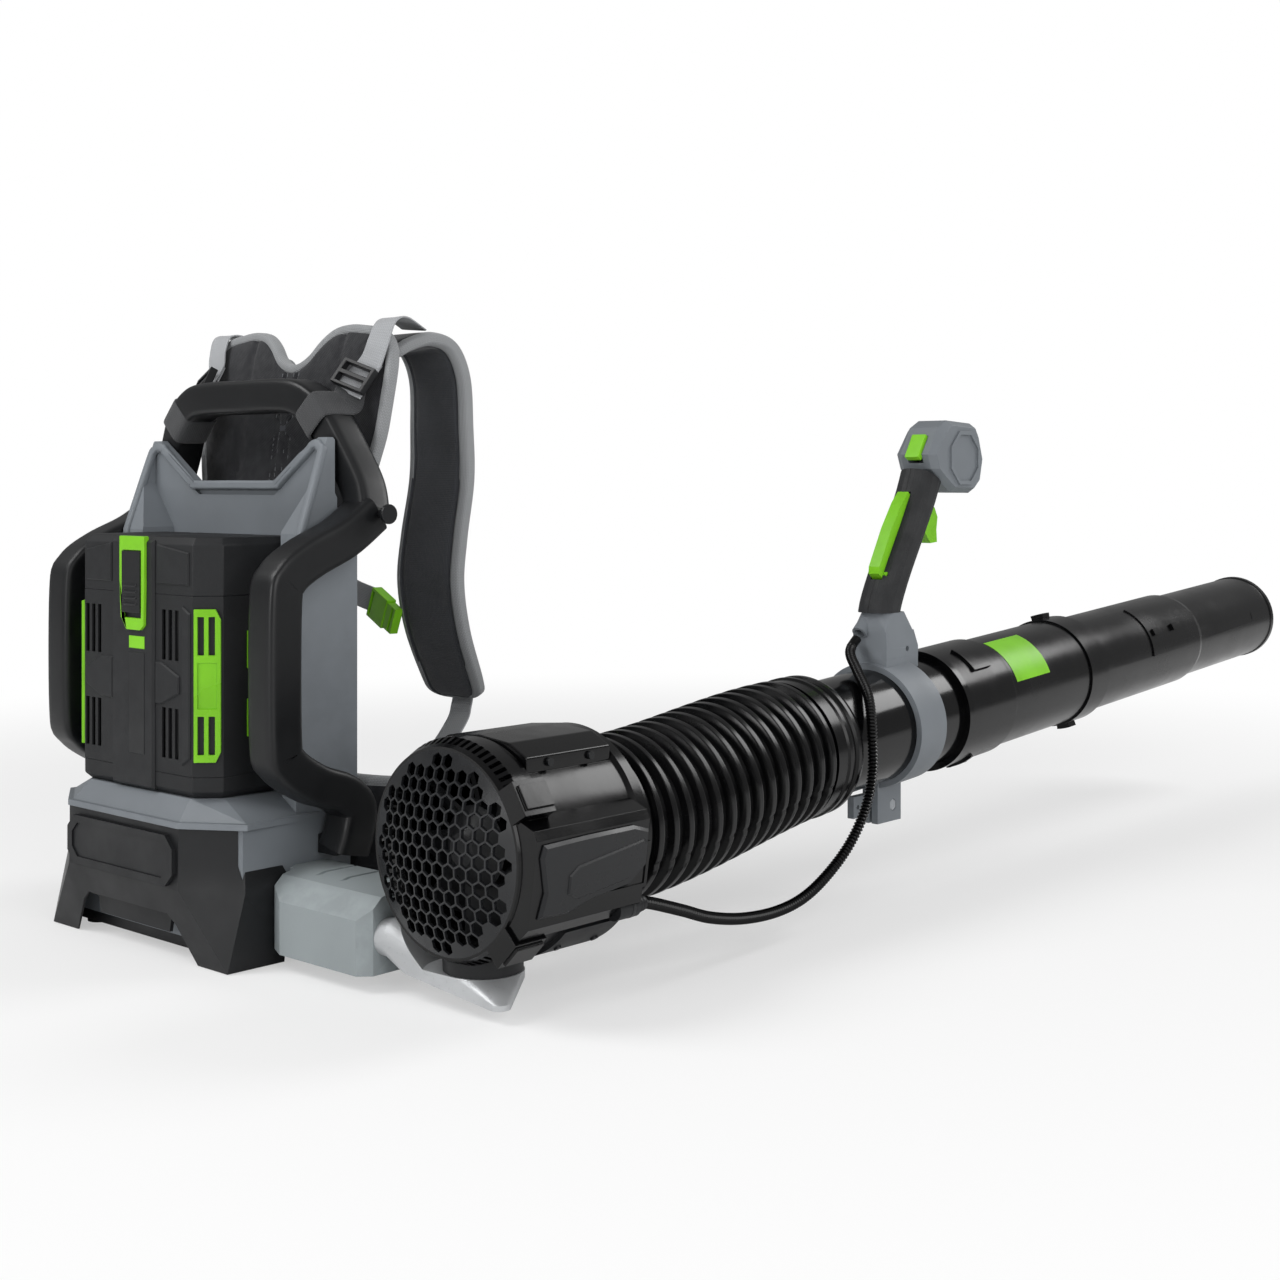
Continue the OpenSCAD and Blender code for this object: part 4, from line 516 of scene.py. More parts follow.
# node: finish, edge radius
rigidParts = {
    "back_shell": ("shellPlastic", 0.0022), "base_body": ("shellPlastic", 0.0018),
    "base_shroud": ("blackPlastic", 0.0018), "rear_panel": ("blackPlastic", 0.001),
    "bottom_plate": ("blackPlastic", 0.0012), "battery_rails": ("blackPlastic", 0.0006),
    "terminal_block": ("blackPlastic", 0.0004), "arm_block": ("armBlockPlastic", 0.0022),
    "swing_arm": ("castMetal", 0.0014), "battery_case": ("batteryPlastic", 0.0009),
    "battery_top_cap": ("batteryPlastic", 0.0014), "battery_bottom_cap": ("batteryPlastic", 0.0012),
    "battery_strip": ("greenPlastic", 0.0008), "battery_latch": ("latchPlastic", 0.0007),
    "guard_latches": ("glossBlack", 0.0014), "top_spine": ("glossBlack", 0.0022),
    "side_cover": ("glossBlack", 0.0014), "lower_cover": ("blackPlastic", 0.001),
    "handle_clamp": ("shellPlastic", 0.0012), "handle_bracket": ("shellPlastic", 0.0012),
    "grip_head": ("shellPlastic", 0.0012), "trigger": ("greenPlastic", 0.0012),
    "cruise_lever": ("greenPlastic", 0.0016), "boost_button": ("greenPlastic", 0.0012),
    "middle_tube": ("glossBlack", 0.0005), "front_tube": ("glossBlack", 0.0005),
    "ladder_buckles": ("latchPlastic", 0.0008),
    "chest_buckle_socket": ("greenPlastic", 0.001), "chest_buckle_plug": ("greenPlastic", 0.001),
    "strap_hook": ("latchPlastic", 0.0007), "clamp_bolt": ("steel", 0.0005),
    "battery_side_frames": ("greenPlastic", 0.0005),
}
for partName, (partFinish, partEdge) in rigidParts.items():
    refine(partName, partFinish, partEdge)
paint("glossBlack", "fan_housing", "intake_ring")
paint("guardPlastic", "intake_guard")
paint("mirrorBlack", "rear_tube")
paint("hosePlastic", "hose_rear_cuff", "hose_front_cuff")
paint("blackPlastic", "impeller", "stator_vanes")
paint("castMetal", "motor_bearings")
paint("steel", "motor_rotor", "motor_stator", "arm_bolts")
paint("latchPlastic", "housing_screws")
paint("heatSink", "motor_controller")
paint("cellSleeve", "battery_cells")
paint("footRubber", "rubber_feet")
paint("gripRubber", "grip_shells")
# these solids stay, and their turned faces need smooth shading
turnedParts = {"fan_housing", "rear_tube", "hose_rear_cuff", "hose_front_cuff"}
for cadNode in nodes.values():
    if cadNode.name in turnedParts:
        rounded(cadNode, 34)
print("rigid parts dressed")


def joined(name, pieces):
    # one object out of several
    bpy.ops.object.select_all(action="DESELECT")
    for piece in pieces:
        piece.select_set(True)
    bpy.context.view_layer.objects.active = pieces[0]
    bpy.ops.object.join()
    pieces[0].name = name
    pieces[0].data.name = name
    return pieces[0]


def superProfile(rows, cols, widths, depths, power):
    # rounded box section, its width and depth given for each row
    a = (np.arange(cols) + 0.5) * 2 * np.pi / cols
    u = signedPower(np.cos(a), power)[None, :] * np.asarray(widths, float).reshape(-1, 1) / 2
    v = signedPower(np.sin(a), power)[None, :] * np.asarray(depths, float).reshape(-1, 1) / 2
    return np.stack([np.broadcast_to(u, (rows, cols)), np.broadcast_to(v, (rows, cols))], -1)


# carrying frame: a hoop over the top and a bent bar down each side
frameBars = {
    "knee": (0.145, 0.047, 0.352),
    "hoop": [(0.136, 0.050, 0.373), (0.120, 0.048, 0.399), (0.100, 0.043, 0.430), (0.077, 0.040, 0.446),
             (0.050, 0.039, 0.450), (0, 0.039, 0.450)],
    "side": [(0.146, 0.018, 0.333), (0.146, -0.016, 0.318), (0.146, -0.038, 0.303), (0.146, -0.044, 0.282),
             (0.146, -0.044, 0.180), (0.146, -0.038, 0.160), (0.146, -0.012, 0.142), (0.146, 0.016, 0.131),
             (0.146, 0.030, 0.117), (0.146, 0.028, 0.100), (0.143, 0.025, 0.084)],
    "hoopSize": (0.0298, 0.0288), "sideSize": (0.0328, 0.0318), "hoopPower": 0.35, "sidePower": 0.33,
    "hoopSteps": 9, "sideSteps": 7, "columns": 36,
    # the block that joins each bar to the base: inner and outer x, front and rear y, low and high z
    "foot": {"x": (0.1235, 0.1455), "y": (0.0145, 0.0355), "z": (0.0805, 0.0955)},
}


def makeFrame():
    # rounded-square sections carried along smooth paths, the left half a mirror of the right
    f = frameBars
    half = smoothPath([f["knee"]] + f["hoop"], f["hoopSteps"])
    other = half[::-1] * np.array([-1, 1, 1])
    hoop = np.vstack([half, other[1:]])
    cols = f["columns"]
    wide, deep = f["hoopSize"]
    section = superProfile(len(hoop), cols, [wide], [deep], f["hoopPower"])
    pieces = [weave("hoopBar", sweepBand(hoop, (0, 1, 0), section))]
    wide, deep = f["sideSize"]
    (inner, outer), (front, rear) = f["foot"]["x"], f["foot"]["y"]
    corners = ((inner, front), (outer, front), (outer, rear), (inner, rear))
    for way in (1, -1):
        path = smoothPath([f["knee"]] + f["side"], f["sideSteps"]) * np.array([way, 1, 1])
        section = superProfile(len(path), cols, [wide], [deep], f["sidePower"])
        pieces.append(weave("sideBar", sweepBand(path, (1, 0, 0), section)))
        block = [[(way * x, y, z) for x, y in corners] for z in f["foot"]["z"]]
        pieces.append(weave("barFoot", np.array(block)))
    bars = joined("carrying_frame_bars", [outward(p) for p in pieces])
    rounded(bars, 50)
    dress(bars, "pack", "barPlastic", "black_plastic", ["carry_frame"])


makeFrame()
print("carrying frame made")

# thick rolled rim round the scoop, from one cheek over both horns to the other
shellRim = {
    "half": [(0.1245, 0.300), (0.1245, 0.330), (0.1235, 0.336), (0.1215, 0.398), (0.119, 0.405),
             (0.113, 0.4085), (0.106, 0.407), (0.101, 0.403), (0.067, 0.380), (0.062, 0.3765),
             (0.055, 0.375), (0, 0.375)],
    "wide": 0.0078, "high": 0.0062, "across": (0, -0.943, 0.333), "power": 0.62, "steps": 6, "columns": 20,
    # the cheeks' front edge: its y, the height where it starts to lean back, and how far it leans per metre
    "cheekY": -0.0034, "leanFrom": 0.336, "lean": 28 / 79,
    # the wall behind the battery: its y, and the half width where the rim meets it
    "wallY": 0.0224, "wallFrom": 0.116, "turnIn": 0.01,
}


def makeRim():
    g = shellRim
    half = np.array(g["half"])
    flat = smoothPath(np.vstack([half, half[::-1][1:] * np.array([-1, 1])]), g["steps"])
    # up the sloping cheeks, then along the wall behind the battery's way up
    slope = g["cheekY"] + np.clip(flat[:, 1] - g["leanFrom"], 0, 1) * g["lean"]
    inside = np.clip((g["wallFrom"] - np.abs(flat[:, 0])) / g["turnIn"], 0, 1)
    path = np.stack([flat[:, 0], slope + inside * (g["wallY"] - slope), flat[:, 1]], 1)
    section = superProfile(len(path), g["columns"], [g["high"]], [g["wide"]], g["power"])
    rim = outward(weave("shell_rim", sweepBand(path, g["across"], section)))
    rounded(rim, 60)
    dress(rim, "pack", "shellPlastic", slotOf["back_shell"])


makeRim()
print("shell rim made")

# ribbed hose between the two cuffs
hoseShape = {
    "start": (0.331, 0.1135, 0.116), "endAt": 0.3917, "ribs": 14, "crest": 0.0658, "groove": 0.0052,
    "shrink": 0.003, "bore": 0.0582, "narrowFrom": 0.7, "narrower": 0.002,
    # radius where the hose meets the rear and the front cuff
    "mouths": (0.061, 0.059),
    # share of a rib's pitch that is half a groove, and that its flank takes
    "valley": 0.21, "flank": 0.13,
    # mould marks down both sides: place in degrees, depth and half width
    "notchAt": 112, "notchDeep": 0.0011, "notchHalf": 1.6,
    "columns": 128, "rowsPerRib": 24,
}


def hosePath(u):
    # cubic from a level start to an end along the rising tubes
    a = np.array(hoseShape["start"])
    b = onLine(hoseShape["endAt"])
    run = np.linalg.norm(b - a)
    u = np.asarray(u, float)[:, None]
    start = np.array([0, 1.0, 0])
    leaving = (2 * u ** 3 - 3 * u ** 2 + 1) * a + (u ** 3 - 2 * u ** 2 + u) * run * start
    arriving = (3 * u ** 2 - 2 * u ** 3) * b + (u ** 3 - u ** 2) * run * blowingLine["way"]
    return leaving + arriving


def makeHose():
    # a tube round the curve: its radius is a row of flat crests with sloping flanks, less a narrow
    # bell-shaped groove down each side, and its wall turns back at both ends to line the bore
    h = hoseShape
    rows = h["ribs"] * h["rowsPerRib"] + 1
    u = np.linspace(0, 1, rows)
    rib = np.minimum((u * h["ribs"]).astype(int), h["ribs"] - 1)
    phase = u * h["ribs"] - rib
    rise = np.clip((0.5 - np.abs(phase - 0.5) - h["valley"]) / h["flank"], 0, 1)
    crest = h["crest"] - h["shrink"] * (rib / (h["ribs"] - 1)) ** 3
    radius = crest - h["groove"] * (1 - rise)
    radius[0], radius[-1] = h["mouths"]
    a = np.arange(h["columns"]) * 2 * np.pi / h["columns"]
    outer = np.broadcast_to(radius[:, None], (rows, h["columns"])).copy()
    for side in (h["notchAt"], h["notchAt"] + 180):
        gap = np.abs((np.degrees(a) - side + 180) % 360 - 180)
        outer -= h["notchDeep"] * np.exp(-(gap / h["notchHalf"]) ** 2)[None, :] * rise[:, None]
    bore = np.where(u > h["narrowFrom"], h["bore"] - h["narrower"], h["bore"])
    inner = np.broadcast_to(bore[:, None], outer.shape)
    line = hosePath(u)
    way = directions(line)
    right = np.broadcast_to(np.array([1.0, 0, 0]), line.shape)
    up = np.cross(right, way)
    spoke = np.sin(a)[None, :, None] * right[:, None, :] + np.cos(a)[None, :, None] * up[:, None, :]
    outside = line[:, None, :] + outer[..., None] * spoke
    inside = line[:, None, :] + inner[..., None] * spoke
    skin = np.concatenate([outside, inside[::-1], outside[:1]], 0)
    hose = outward(weld(weave("ribbed_hose", skin, caps=False)))
    rounded(hose, 26)
    hose.data.materials.append(finishes["hosePlastic"])
    tuple(line[0])
    tuple(line[-1])
    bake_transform(hose)
    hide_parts("flex_hose")


makeHose()
print("hose made")

# control conduit: corrugated tube from the housing's gland to the handle
conduitShape = {
    "route": [(404, 72.5, 70.4), (404, 84, 70.4), (404, 98, 69), (402, 138, 56), (398, 176, 43),
              (393, 222, 33), (389, 270, 29), (387, 310, 33), (386, 345, 46), (388, 375, 68), (391, 394, 96),
              (393, 402, 126), (390, 406, 158), (375, 422, 188), (348, 444, 207), (329, 460, 219),
              (322, 471, 225.5), (322, 480, 233)],
    "diameter": 0.0095, "ribs": 176, "ribDeep": 0.0015, "ribPower": 0.6, "rowsPerRib": 4,
    "side": (0.36, 0.48, 0.8), "steps": 14, "columns": 16,
    # smooth ends that go into the glands: rows, and how much thinner they are
    "plainRows": 14, "plainThinner": 0.0006,
}


def makeConduit():
    # a round tube along the route, its thickness a cosine wave with broad crests
    c = conduitShape
    line = smoothPath(np.array(c["route"]) / 1000, c["steps"])
    rows = c["ribs"] * c["rowsPerRib"] + 1
    path = evenPath(line, rows)
    along = np.linspace(0, c["ribs"], rows)
    wave = 0.5 - 0.5 * np.cos(2 * np.pi * along)
    ends = np.minimum(np.arange(rows), np.arange(rows)[::-1]) < c["plainRows"]
    ribbed = c["diameter"] - 2 * c["ribDeep"] * (1 - wave ** c["ribPower"])
    size = np.where(ends, c["diameter"] - c["plainThinner"], ribbed)
    skin = sweepBand(path, c["side"], superProfile(rows, c["columns"], size, size, 1.0))
    conduit = outward(weave("control_conduit_tube", skin, uv=clothUV(skin)))
    rounded(conduit, 30)
    conduit.data.materials.append(finishes["hosePlastic"])
    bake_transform(conduit)
    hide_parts("control_conduit")


makeConduit()
print("conduit made")


# padding
def faceMaterials(piece, rows, cols, table):
    # table is (rows - 1) x columns of material numbers; the caps take the last row's first number
    index = np.concatenate([table.reshape(-1), np.full(len(piece.data.polygons) - table.size, table[-1, 0])])
    piece.data.polygons.foreach_set("material_index", index.astype(np.int32))


# how square the rim of a flat pad is, how full its faces are, and how steeply a face puffs up from the rim
pillowShape = {"edge": 7, "full": 0.34, "faceAbove": 0.2, "puffSteep": 6, "seamDeep": 0.0022,
               "steps": 8, "rows": 26}


def pillow(name, outline, centre, place, depth, seams=(), puff=0.0):
    # rings run from the middle of the cloth face over the edge to the middle of the mesh face, shrunk
    # towards the centre as a sine, and the height falls off with a power of the distance from it;
    # each seam is a bell-shaped groove with a place across the pad and a half width
    p = pillowShape
    rows = p["rows"]
    loop = smoothPath(np.array(list(outline) + [outline[0]], float), p["steps"])[:-1]
    cols = len(loop)
    r = np.sin(np.linspace(0.02, 1, rows) * math.pi / 2)
    r = np.concatenate([r, r[:-1][::-1]])
    front = np.arange(len(r)) < rows
    flat = centre + r[:, None, None] * (loop[None] - centre)
    height = (depth / 2) * np.clip(1 - np.abs(r) ** p["edge"], 0, 1) ** p["full"]
    onFace = height[:, None] > depth * p["faceAbove"]
    fromEdge = 1 - np.abs(r)[:, None]
    bulge = height[:, None] * np.ones(cols)
    bulge = bulge + puff * np.sin(np.clip(fromEdge * p["puffSteep"], 0, 1) * math.pi / 2) * onFace
    for x, half in seams:
        bulge = bulge - p["seamDeep"] * np.exp(-((flat[..., 0] - x) / half) ** 2) * onFace
    sideways = np.where(front, -1, 1)[:, None] * np.minimum(bulge, depth / 2 + puff)
    points = place(flat[..., 0], depth / 2 + sideways, flat[..., 1])
    uv = np.concatenate([flat, flat[:, :1]], 1)
    piece = outward(weave(name, points, uv=uv))
    for finish in ("cloth", "airMesh"):
        piece.data.materials.append(finishes[finish])
    half = np.repeat((np.arange(len(r) - 1) >= rows - 1).astype(int)[:, None], cols, 1)
    faceMaterials(piece, len(r), cols, half)
    rounded(piece, 80)
    return piece, loop


def edgeTape(name, path, side, width, depth):
    # folded tape that wraps an edge and comes back to its start
    path = np.vstack([path, path[:1]])
    skin = sweepBand(path, side, superProfile(len(path), 20, [width], [depth], 0.6))
    skin[-1] = skin[0]
    piece = weld(outward(weave(name, skin, caps=False, uv=clothUV(skin))))
    return rounded(piece, 70)


def upright(y, turn=0.0, about=0.0):
    # places a flat outline against the pack, leaning by an angle above a height
    c, s = math.cos(turn), math.sin(turn)

    def place(x, deep, z):
        return np.stack([x, y + deep * c + (z - about) * s, about - deep * s + (z - about) * c], -1)

    return place


backPad = {
    "outline": [(0.078, 0.350), (0.092, 0.336), (0.093, 0.25), (0.092, 0.158), (0.080, 0.146), (0, 0.146),
                (-0.080, 0.146), (-0.092, 0.158), (-0.093, 0.25), (-0.092, 0.336), (-0.078, 0.350),
                (0, 0.351)],
    "back": 0.0503, "depth": 0.012, "middle": (0, 0.25), "seams": [(-0.008, 0.0022), (0.008, 0.0022)],
    "bindingIn": 0.985, "binding": 0.006,
}
# right half of the yoke's outline, from the neck to the middle of its lower edge
yokeHalf = [(0.012, 0.482), (0.024, 0.489), (0.036, 0.501), (0.05, 0.51), (0.066, 0.513), (0.084, 0.512),
            (0.112, 0.506), (0.128, 0.484), (0.128, 0.43), (0.121, 0.396), (0.112, 0.368), (0.1, 0.352)]
yoke = {
    "outline": [(0, 0.479)] + yokeHalf + [(0, 0.3505)] + [(-x, z) for x, z in yokeHalf[::-1]],
    "back": 0.0626, "depth": 0.010, "middle": (0, 0.425), "lean": 8.0, "leanFrom": 0.350,
    "seams": [(-0.008, 0.0018), (0.008, 0.0018), (-0.062, 0.003), (0.062, 0.003)], "puff": 0.001,
    # how far the top and the wings come forwards, and from where
    "topBend": 0.0055, "bendFrom": 0.43, "bendOver": 0.08, "wingBend": 0.003, "halfWidth": 0.128,
    "bindingIn": 0.972, "binding": 0.0085,
}
# dashed rows: place across, lowest and highest, pitch and length of a stitch
yokeStitches = {"x": (-0.0115, -0.0045, 0.0045, 0.0115), "from": 0.372, "to": 0.474, "pitch": 0.0052,
                "long": 0.0032, "proud": 0.0004, "wide": 0.0009, "thick": 0.0007}


def makeBinding(name, shape, loop, place, width):
    # folded tape along the pad's outline, drawn in a little towards the middle
    centre = np.array(shape["middle"])
    inner = centre + (loop - centre) * shape["bindingIn"]
    rim = place(inner[:, 0], np.full(len(loop), shape["depth"] / 2), inner[:, 1])
    tape = edgeTape(name, rim, (0, 1, 0), shape["depth"] * width, shape["binding"])
    dress(tape, "pack", "binding", "webbing")


def makeBackPad():
    b = backPad
    place = upright(b["back"])
    pad, loop = pillow("back_pad_cushion", b["outline"], np.array(b["middle"]), place, b["depth"], b["seams"])
    dress(pad, "pack", "cloth", "padding", ["back_pad"])
    makeBinding("back_pad_binding", b, loop, place, 0.94)


def placeOnYoke(x, deep, z):
    # leans back from its lower edge, and its top and wings bend towards the wearer
    y = yoke
    flat = upright(y["back"], math.radians(y["lean"]), y["leanFrom"])(x, deep, z)
    top = y["topBend"] * np.clip((z - y["bendFrom"]) / y["bendOver"], 0, 1.1) ** 2
    bend = top + y["wingBend"] * (np.abs(x) / y["halfWidth"]) ** 2
    return flat + bend[..., None] * np.array([0, 1, 0])


def makeYoke():
    y = yoke
    pad, loop = pillow("harness_yoke_pad", y["outline"], np.array(y["middle"]), placeOnYoke, y["depth"],
                       y["seams"], y["puff"])
    dress(pad, "pack", "cloth", "padding", ["harness_yoke"])
    makeBinding("harness_yoke_binding", y, loop, placeOnYoke, 1.12)


def makeStitches():
    # dashed rows beside the yoke's middle seams
    t = yokeStitches
    section = superProfile(2, 6, [t["wide"]], [t["thick"]], 1.0)
    marks = []
    for x in t["x"]:
        for z in np.arange(t["from"], t["to"], t["pitch"]):
            spot = placeOnYoke(np.array([x, x]), np.full(2, -t["proud"]), np.array([z, z + t["long"]]))
            marks.append(weave("stitch", sweepBand(spot, (1, 0, 0), section)))
    stitches = joined("yoke_stitches", marks)
    dress(stitches, "pack", "thread", "webbing")


makeBackPad()
makeYoke()
makeStitches()
print("back pad and yoke made")

shoulderPads = {
    "right": [(84, 99.1, 484), (89, 118, 495), (94, 138, 499), (97, 156, 491), (98, 167, 466), (97, 170, 425),
              (97, 170, 380), (96, 162, 330), (96, 158, 290), (97, 165, 248), (97, 182, 206), (97, 190, 188)],
    "left": [(-84, 101.4, 474), (-92, 118, 482), (-99, 135, 475), (-102, 150, 457), (-102, 160, 430),
             (-101, 164, 392), (-100, 163, 350), (-98, 158, 312), (-97, 157, 283), (-97, 165, 248),
             (-97, 182, 206), (-97, 190, 188)],
    "width": 0.076, "depth": 0.015, "tape": 0.0085, "tapeProud": 0.0007, "endLong": 0.024,
    # narrower at both ends and below the chest, and thinner at the top, as shares
    "endNarrow": 0.16, "sway": 0.06, "thinnest": 0.62,
    # width and depth left at the very ends, as shares
    "tipWide": 0.3, "tipDeep": 0.5,
    # sewn creases across the pad: how many, and how deep as a share of the pad
    "creases": 4, "creaseDeep": 0.42, "creaseSharp": 14, "creaseFade": 0.012,
    # the groove beside the edge tape
    "pipingAt": 0.0012, "pipingHalf": 0.0016, "pipingDeep": 0.24, "crown": 0.10,
    "steps": 16, "columns": 72,
}


def endTaper(ends, long):
    # a quarter circle that closes a band towards each of its ends
    return np.sqrt(np.clip(1 - (1 - np.clip(ends / long, 0, 1)) ** 2, 0.02, 1))


def squareSection(columns):
    # across and away for a rounded square, columns running round from one edge to the other and back
    a = (np.arange(columns) + 0.5) * 2 * np.pi / columns
    return signedPower(np.cos(a), 0.5), signedPower(np.sin(a), 0.5)


def coverPad(piece, rows, columns, tape, wearerSide):
    # cloth outside, mesh towards the wearer, tape along the edges
    for finish in ("cloth", "airMesh", "binding"):
        piece.data.materials.append(finishes[finish])
    faces = np.where(np.broadcast_to(wearerSide, (rows - 1, columns)), 1, 0)
    faceMaterials(piece, rows, columns, np.where(tape[:-1] & tape[1:], 2, faces))
    return rounded(piece, 80)


def makeShoulderPad(which, node):
    # a rounded-square band along its path; the depth is a crown across it, times creases that are high
    # powers of a cosine along it, times a bell-shaped groove beside the tape
    s = shoulderPads
    path = smoothPath(np.array(s[which]) / 1000, s["steps"])
    rows = len(path)
    u = np.linspace(0, 1, rows)
    wide = s["width"] * (1 - s["endNarrow"] * np.abs(2 * u - 1) ** 6 - s["sway"] * np.sin(2 * np.pi * u))
    full = np.sqrt(np.sin(np.pi * np.clip(u, 0.03, 1)).clip(0))
    deep = s["depth"] * (s["thinnest"] + (1 - s["thinnest"]) * full)
    crease = np.abs(np.cos(s["creases"] * np.pi * u)) ** s["creaseSharp"]
    ends = np.minimum(u, 1 - u) * runLength(path)[-1]
    close = endTaper(ends, s["endLong"])
    wide = wide * (s["tipWide"] + (1 - s["tipWide"]) * close)
    across, away = squareSection(s["columns"])
    x = across[None, :] * wide[:, None] / 2
    fromEdge = wide[:, None] / 2 - np.abs(x)
    atEnds = np.clip(ends, 0, None)[:, None] * np.ones_like(x)
    tape = np.minimum(fromEdge, atEnds) < s["tape"]
    crown = 1 - s["crown"] * (np.abs(x) / (wide[:, None] / 2)) ** 2
    inPanel = np.clip((fromEdge - s["tape"]) / s["creaseFade"], 0, 1)
    panel = 1 - s["creaseDeep"] * crease[:, None] * inPanel
    fromPiping = (fromEdge - s["tape"] - s["pipingAt"]) / s["pipingHalf"]
    piping = 1 - s["pipingDeep"] * np.exp(-fromPiping ** 2)
    tips = s["tipDeep"] + (1 - s["tipDeep"]) * close[:, None]
    y = away[None, :] * deep[:, None] / 2 * crown * panel * piping * tips
    y = y + np.where(tape, s["tapeProud"], 0) * np.sign(away)[None, :]
    skin = sweepBand(path, (1, 0, 0), np.stack([x, y], -1))
    pad = outward(weave("shoulder_pad_" + which + "_cushion", skin, uv=clothUV(skin)))
    coverPad(pad, rows, s["columns"], tape, away > 0)
    dress(pad, "pack", "cloth", "padding", [node])


makeShoulderPad("right", "shoulder_pad_right")
makeShoulderPad("left", "shoulder_pad_left")
print("shoulder pads made")

hipPads = {
    "path": [(66, 59, 95), (96, 59, 95), (126, 66, 95), (150, 86, 95), (162, 118, 95), (166, 152, 93),
             (164, 176, 92)],
    "height": 0.084, "depth": 0.017, "tape": 0.006, "endLong": 0.014, "narrowing": 0.35,
    # height and depth left at the very ends, as shares
    "tipHigh": 0.55, "tipDeep": 0.5,
    # two sewn lines along the pad, and the groove beside the edge tape
    "lineAt": 0.013, "lineDeep": 0.22, "pipingAt": 0.001, "lineHalf": 0.0016,
    "steps": 14, "columns": 64,
}


def makeHipPad(way):
    # a rounded-square band that narrows with the cube of the way along, with bell-shaped grooves
    h = hipPads
    path = smoothPath(np.array(h["path"]) / 1000, h["steps"]) * np.array([way, 1, 1])
    rows = len(path)
    u = np.linspace(0, 1, rows)
    tall = h["height"] * (1 - h["narrowing"] * u ** 3)
    ends = np.minimum(u, 1 - u) * runLength(path)[-1]
    close = endTaper(ends, h["endLong"])
    tall = tall * (h["tipHigh"] + (1 - h["tipHigh"]) * close)
    across, away = squareSection(h["columns"])
    x = across[None, :] * tall[:, None] / 2
    fromEdge = tall[:, None] / 2 - np.abs(x)
    tape = np.minimum(fromEdge, np.broadcast_to(ends[:, None], x.shape)) < h["tape"]
    lines = 1 - h["lineDeep"] * np.exp(-((np.abs(x) - h["lineAt"]) / h["lineHalf"]) ** 2)
    piping = 1 - h["lineDeep"] * np.exp(-((fromEdge - h["tape"] - h["pipingAt"]) / h["lineHalf"]) ** 2)
    tips = h["tipDeep"] + (1 - h["tipDeep"]) * close[:, None]
    y = away[None, :] * (h["depth"] / 2) * lines * piping * tips
    skin = sweepBand(path, (0, 0, 1), np.stack([x, y], -1))
    pad = outward(weave("hip_pad", skin, uv=clothUV(skin)))
    return coverPad(pad, rows, h["columns"], tape, away * way <= 0)


hips = joined("hip_pad_cushions", [makeHipPad(1), makeHipPad(-1)])
dress(hips, "pack", "cloth", "padding", ["hip_pads"])
print("hip pads made")

# webbing
tapes = {
    "width": 0.026, "thick": 0.002, "chestWidth": 0.022, "tailWidth": 0.0235,
    "power": 0.35, "steps": 12, "columns": 28,
    # how far the looped tape and the sewn tail lie above the tape under them
    "loopLift": 0.0011, "tailLift": 0.0022,
    "lower": [(97, 189.4, 210), (97, 195.2, 191), (97, 193.5, 179), (98, 187, 166), (102, 160, 142),
              (108, 120, 118), (112, 90, 102), (113, 74, 92)],
    "loop": [(94, 59.3, 430.3), (85.4, 57.5, 422.4), (83.8, 42.4, 420.9), (85.4, 27.3, 422.4),
             (96.2, 25.5, 432.3), (106.7, 27.9, 441.9), (108.4, 42.4, 443.5), (109, 56.3, 444),
             (103.5, 63.5, 454), (106, 71, 465.5)],
    "loopSide": [(0.676, 0, -0.737)] * 9 + [(0.8, 0, -0.6)],
    "rise": [(102.6, 61.6, 451), (103.8, 64.6, 456), (106, 71.6, 465.5), (110, 80.6, 479), (114, 84.6, 495)],
    "riseSide": [(0.676, 0, -0.737), (0.676, 0, -0.737), (0.8, 0, -0.6), (0.9, 0, -0.43),
                 (0.97, 0, -0.25)] + [(1, 0, 0)] * 3,
    "rightEnd": [(115, 92, 511.5), (109, 110, 516), (102, 134, 509)],
    "leftEnd": [(115, 92, 510.5), (109, 108, 508), (101, 128, 488)],
    "chest": [(-60, 162.3, 286), (-30, 163, 282), (-4, 160, 276), (18, 157.5, 272)],
}


def makeTape(name, route, side, width, way=1, finish="webbing", lift=0.0):
    # a flat band along a route in millimetres; way mirrors it to the other side
    t = tapes
    path = smoothPath(np.array(route) / 1000, t["steps"]) * np.array([way, 1, 1])
    if len(np.shape(side)) == 2:
        side = smoothPath(np.array(side), t["steps"]) * np.array([way, 1, 1])
    skin = sweepBand(path, side, superProfile(len(path), t["columns"], [width], [t["thick"]], t["power"]))
    if lift:
        ahead = directions(path)
        wide = unitRows(side - np.sum(side * ahead, 1, keepdims=True) * ahead)
        skin = skin + lift * way * np.cross(ahead, wide)[:, None, :]
    piece = outward(weave(name, skin, uv=clothUV(skin)))
    piece.data.materials.append(finishes[finish])
    return rounded(piece, 60)


def makeStraps():
    t = tapes
    made = []
    for way, last in ((1, "rightEnd"), (-1, "leftEnd")):
        made.append(makeTape("tape", t["lower"], (1, 0, 0), t["width"], way))
        made.append(makeTape("tape", t["rise"] + t[last], t["riseSide"], t["width"], way))
        # dark tape looped round the hoop's bend, and the sewn tail above the buckle
        made.append(makeTape("tape", t["loop"], t["loopSide"], t["width"], way, "darkWebbing", t["loopLift"]))
        made.append(makeTape("tape", t["rise"][1:4], t["riseSide"][1:4], t["tailWidth"], way, "webbing",
                             t["tailLift"]))
    dress(joined("harness_straps", made), "pack", "webbing", "webbing", ["harness_webbing"])
    chest = makeTape("chest_strap_tape", t["chest"], (0, 0.1, 1), t["chestWidth"])
    dress(chest, "pack", "webbing", "webbing", ["chest_strap"])


makeStraps()
print("webbing made")


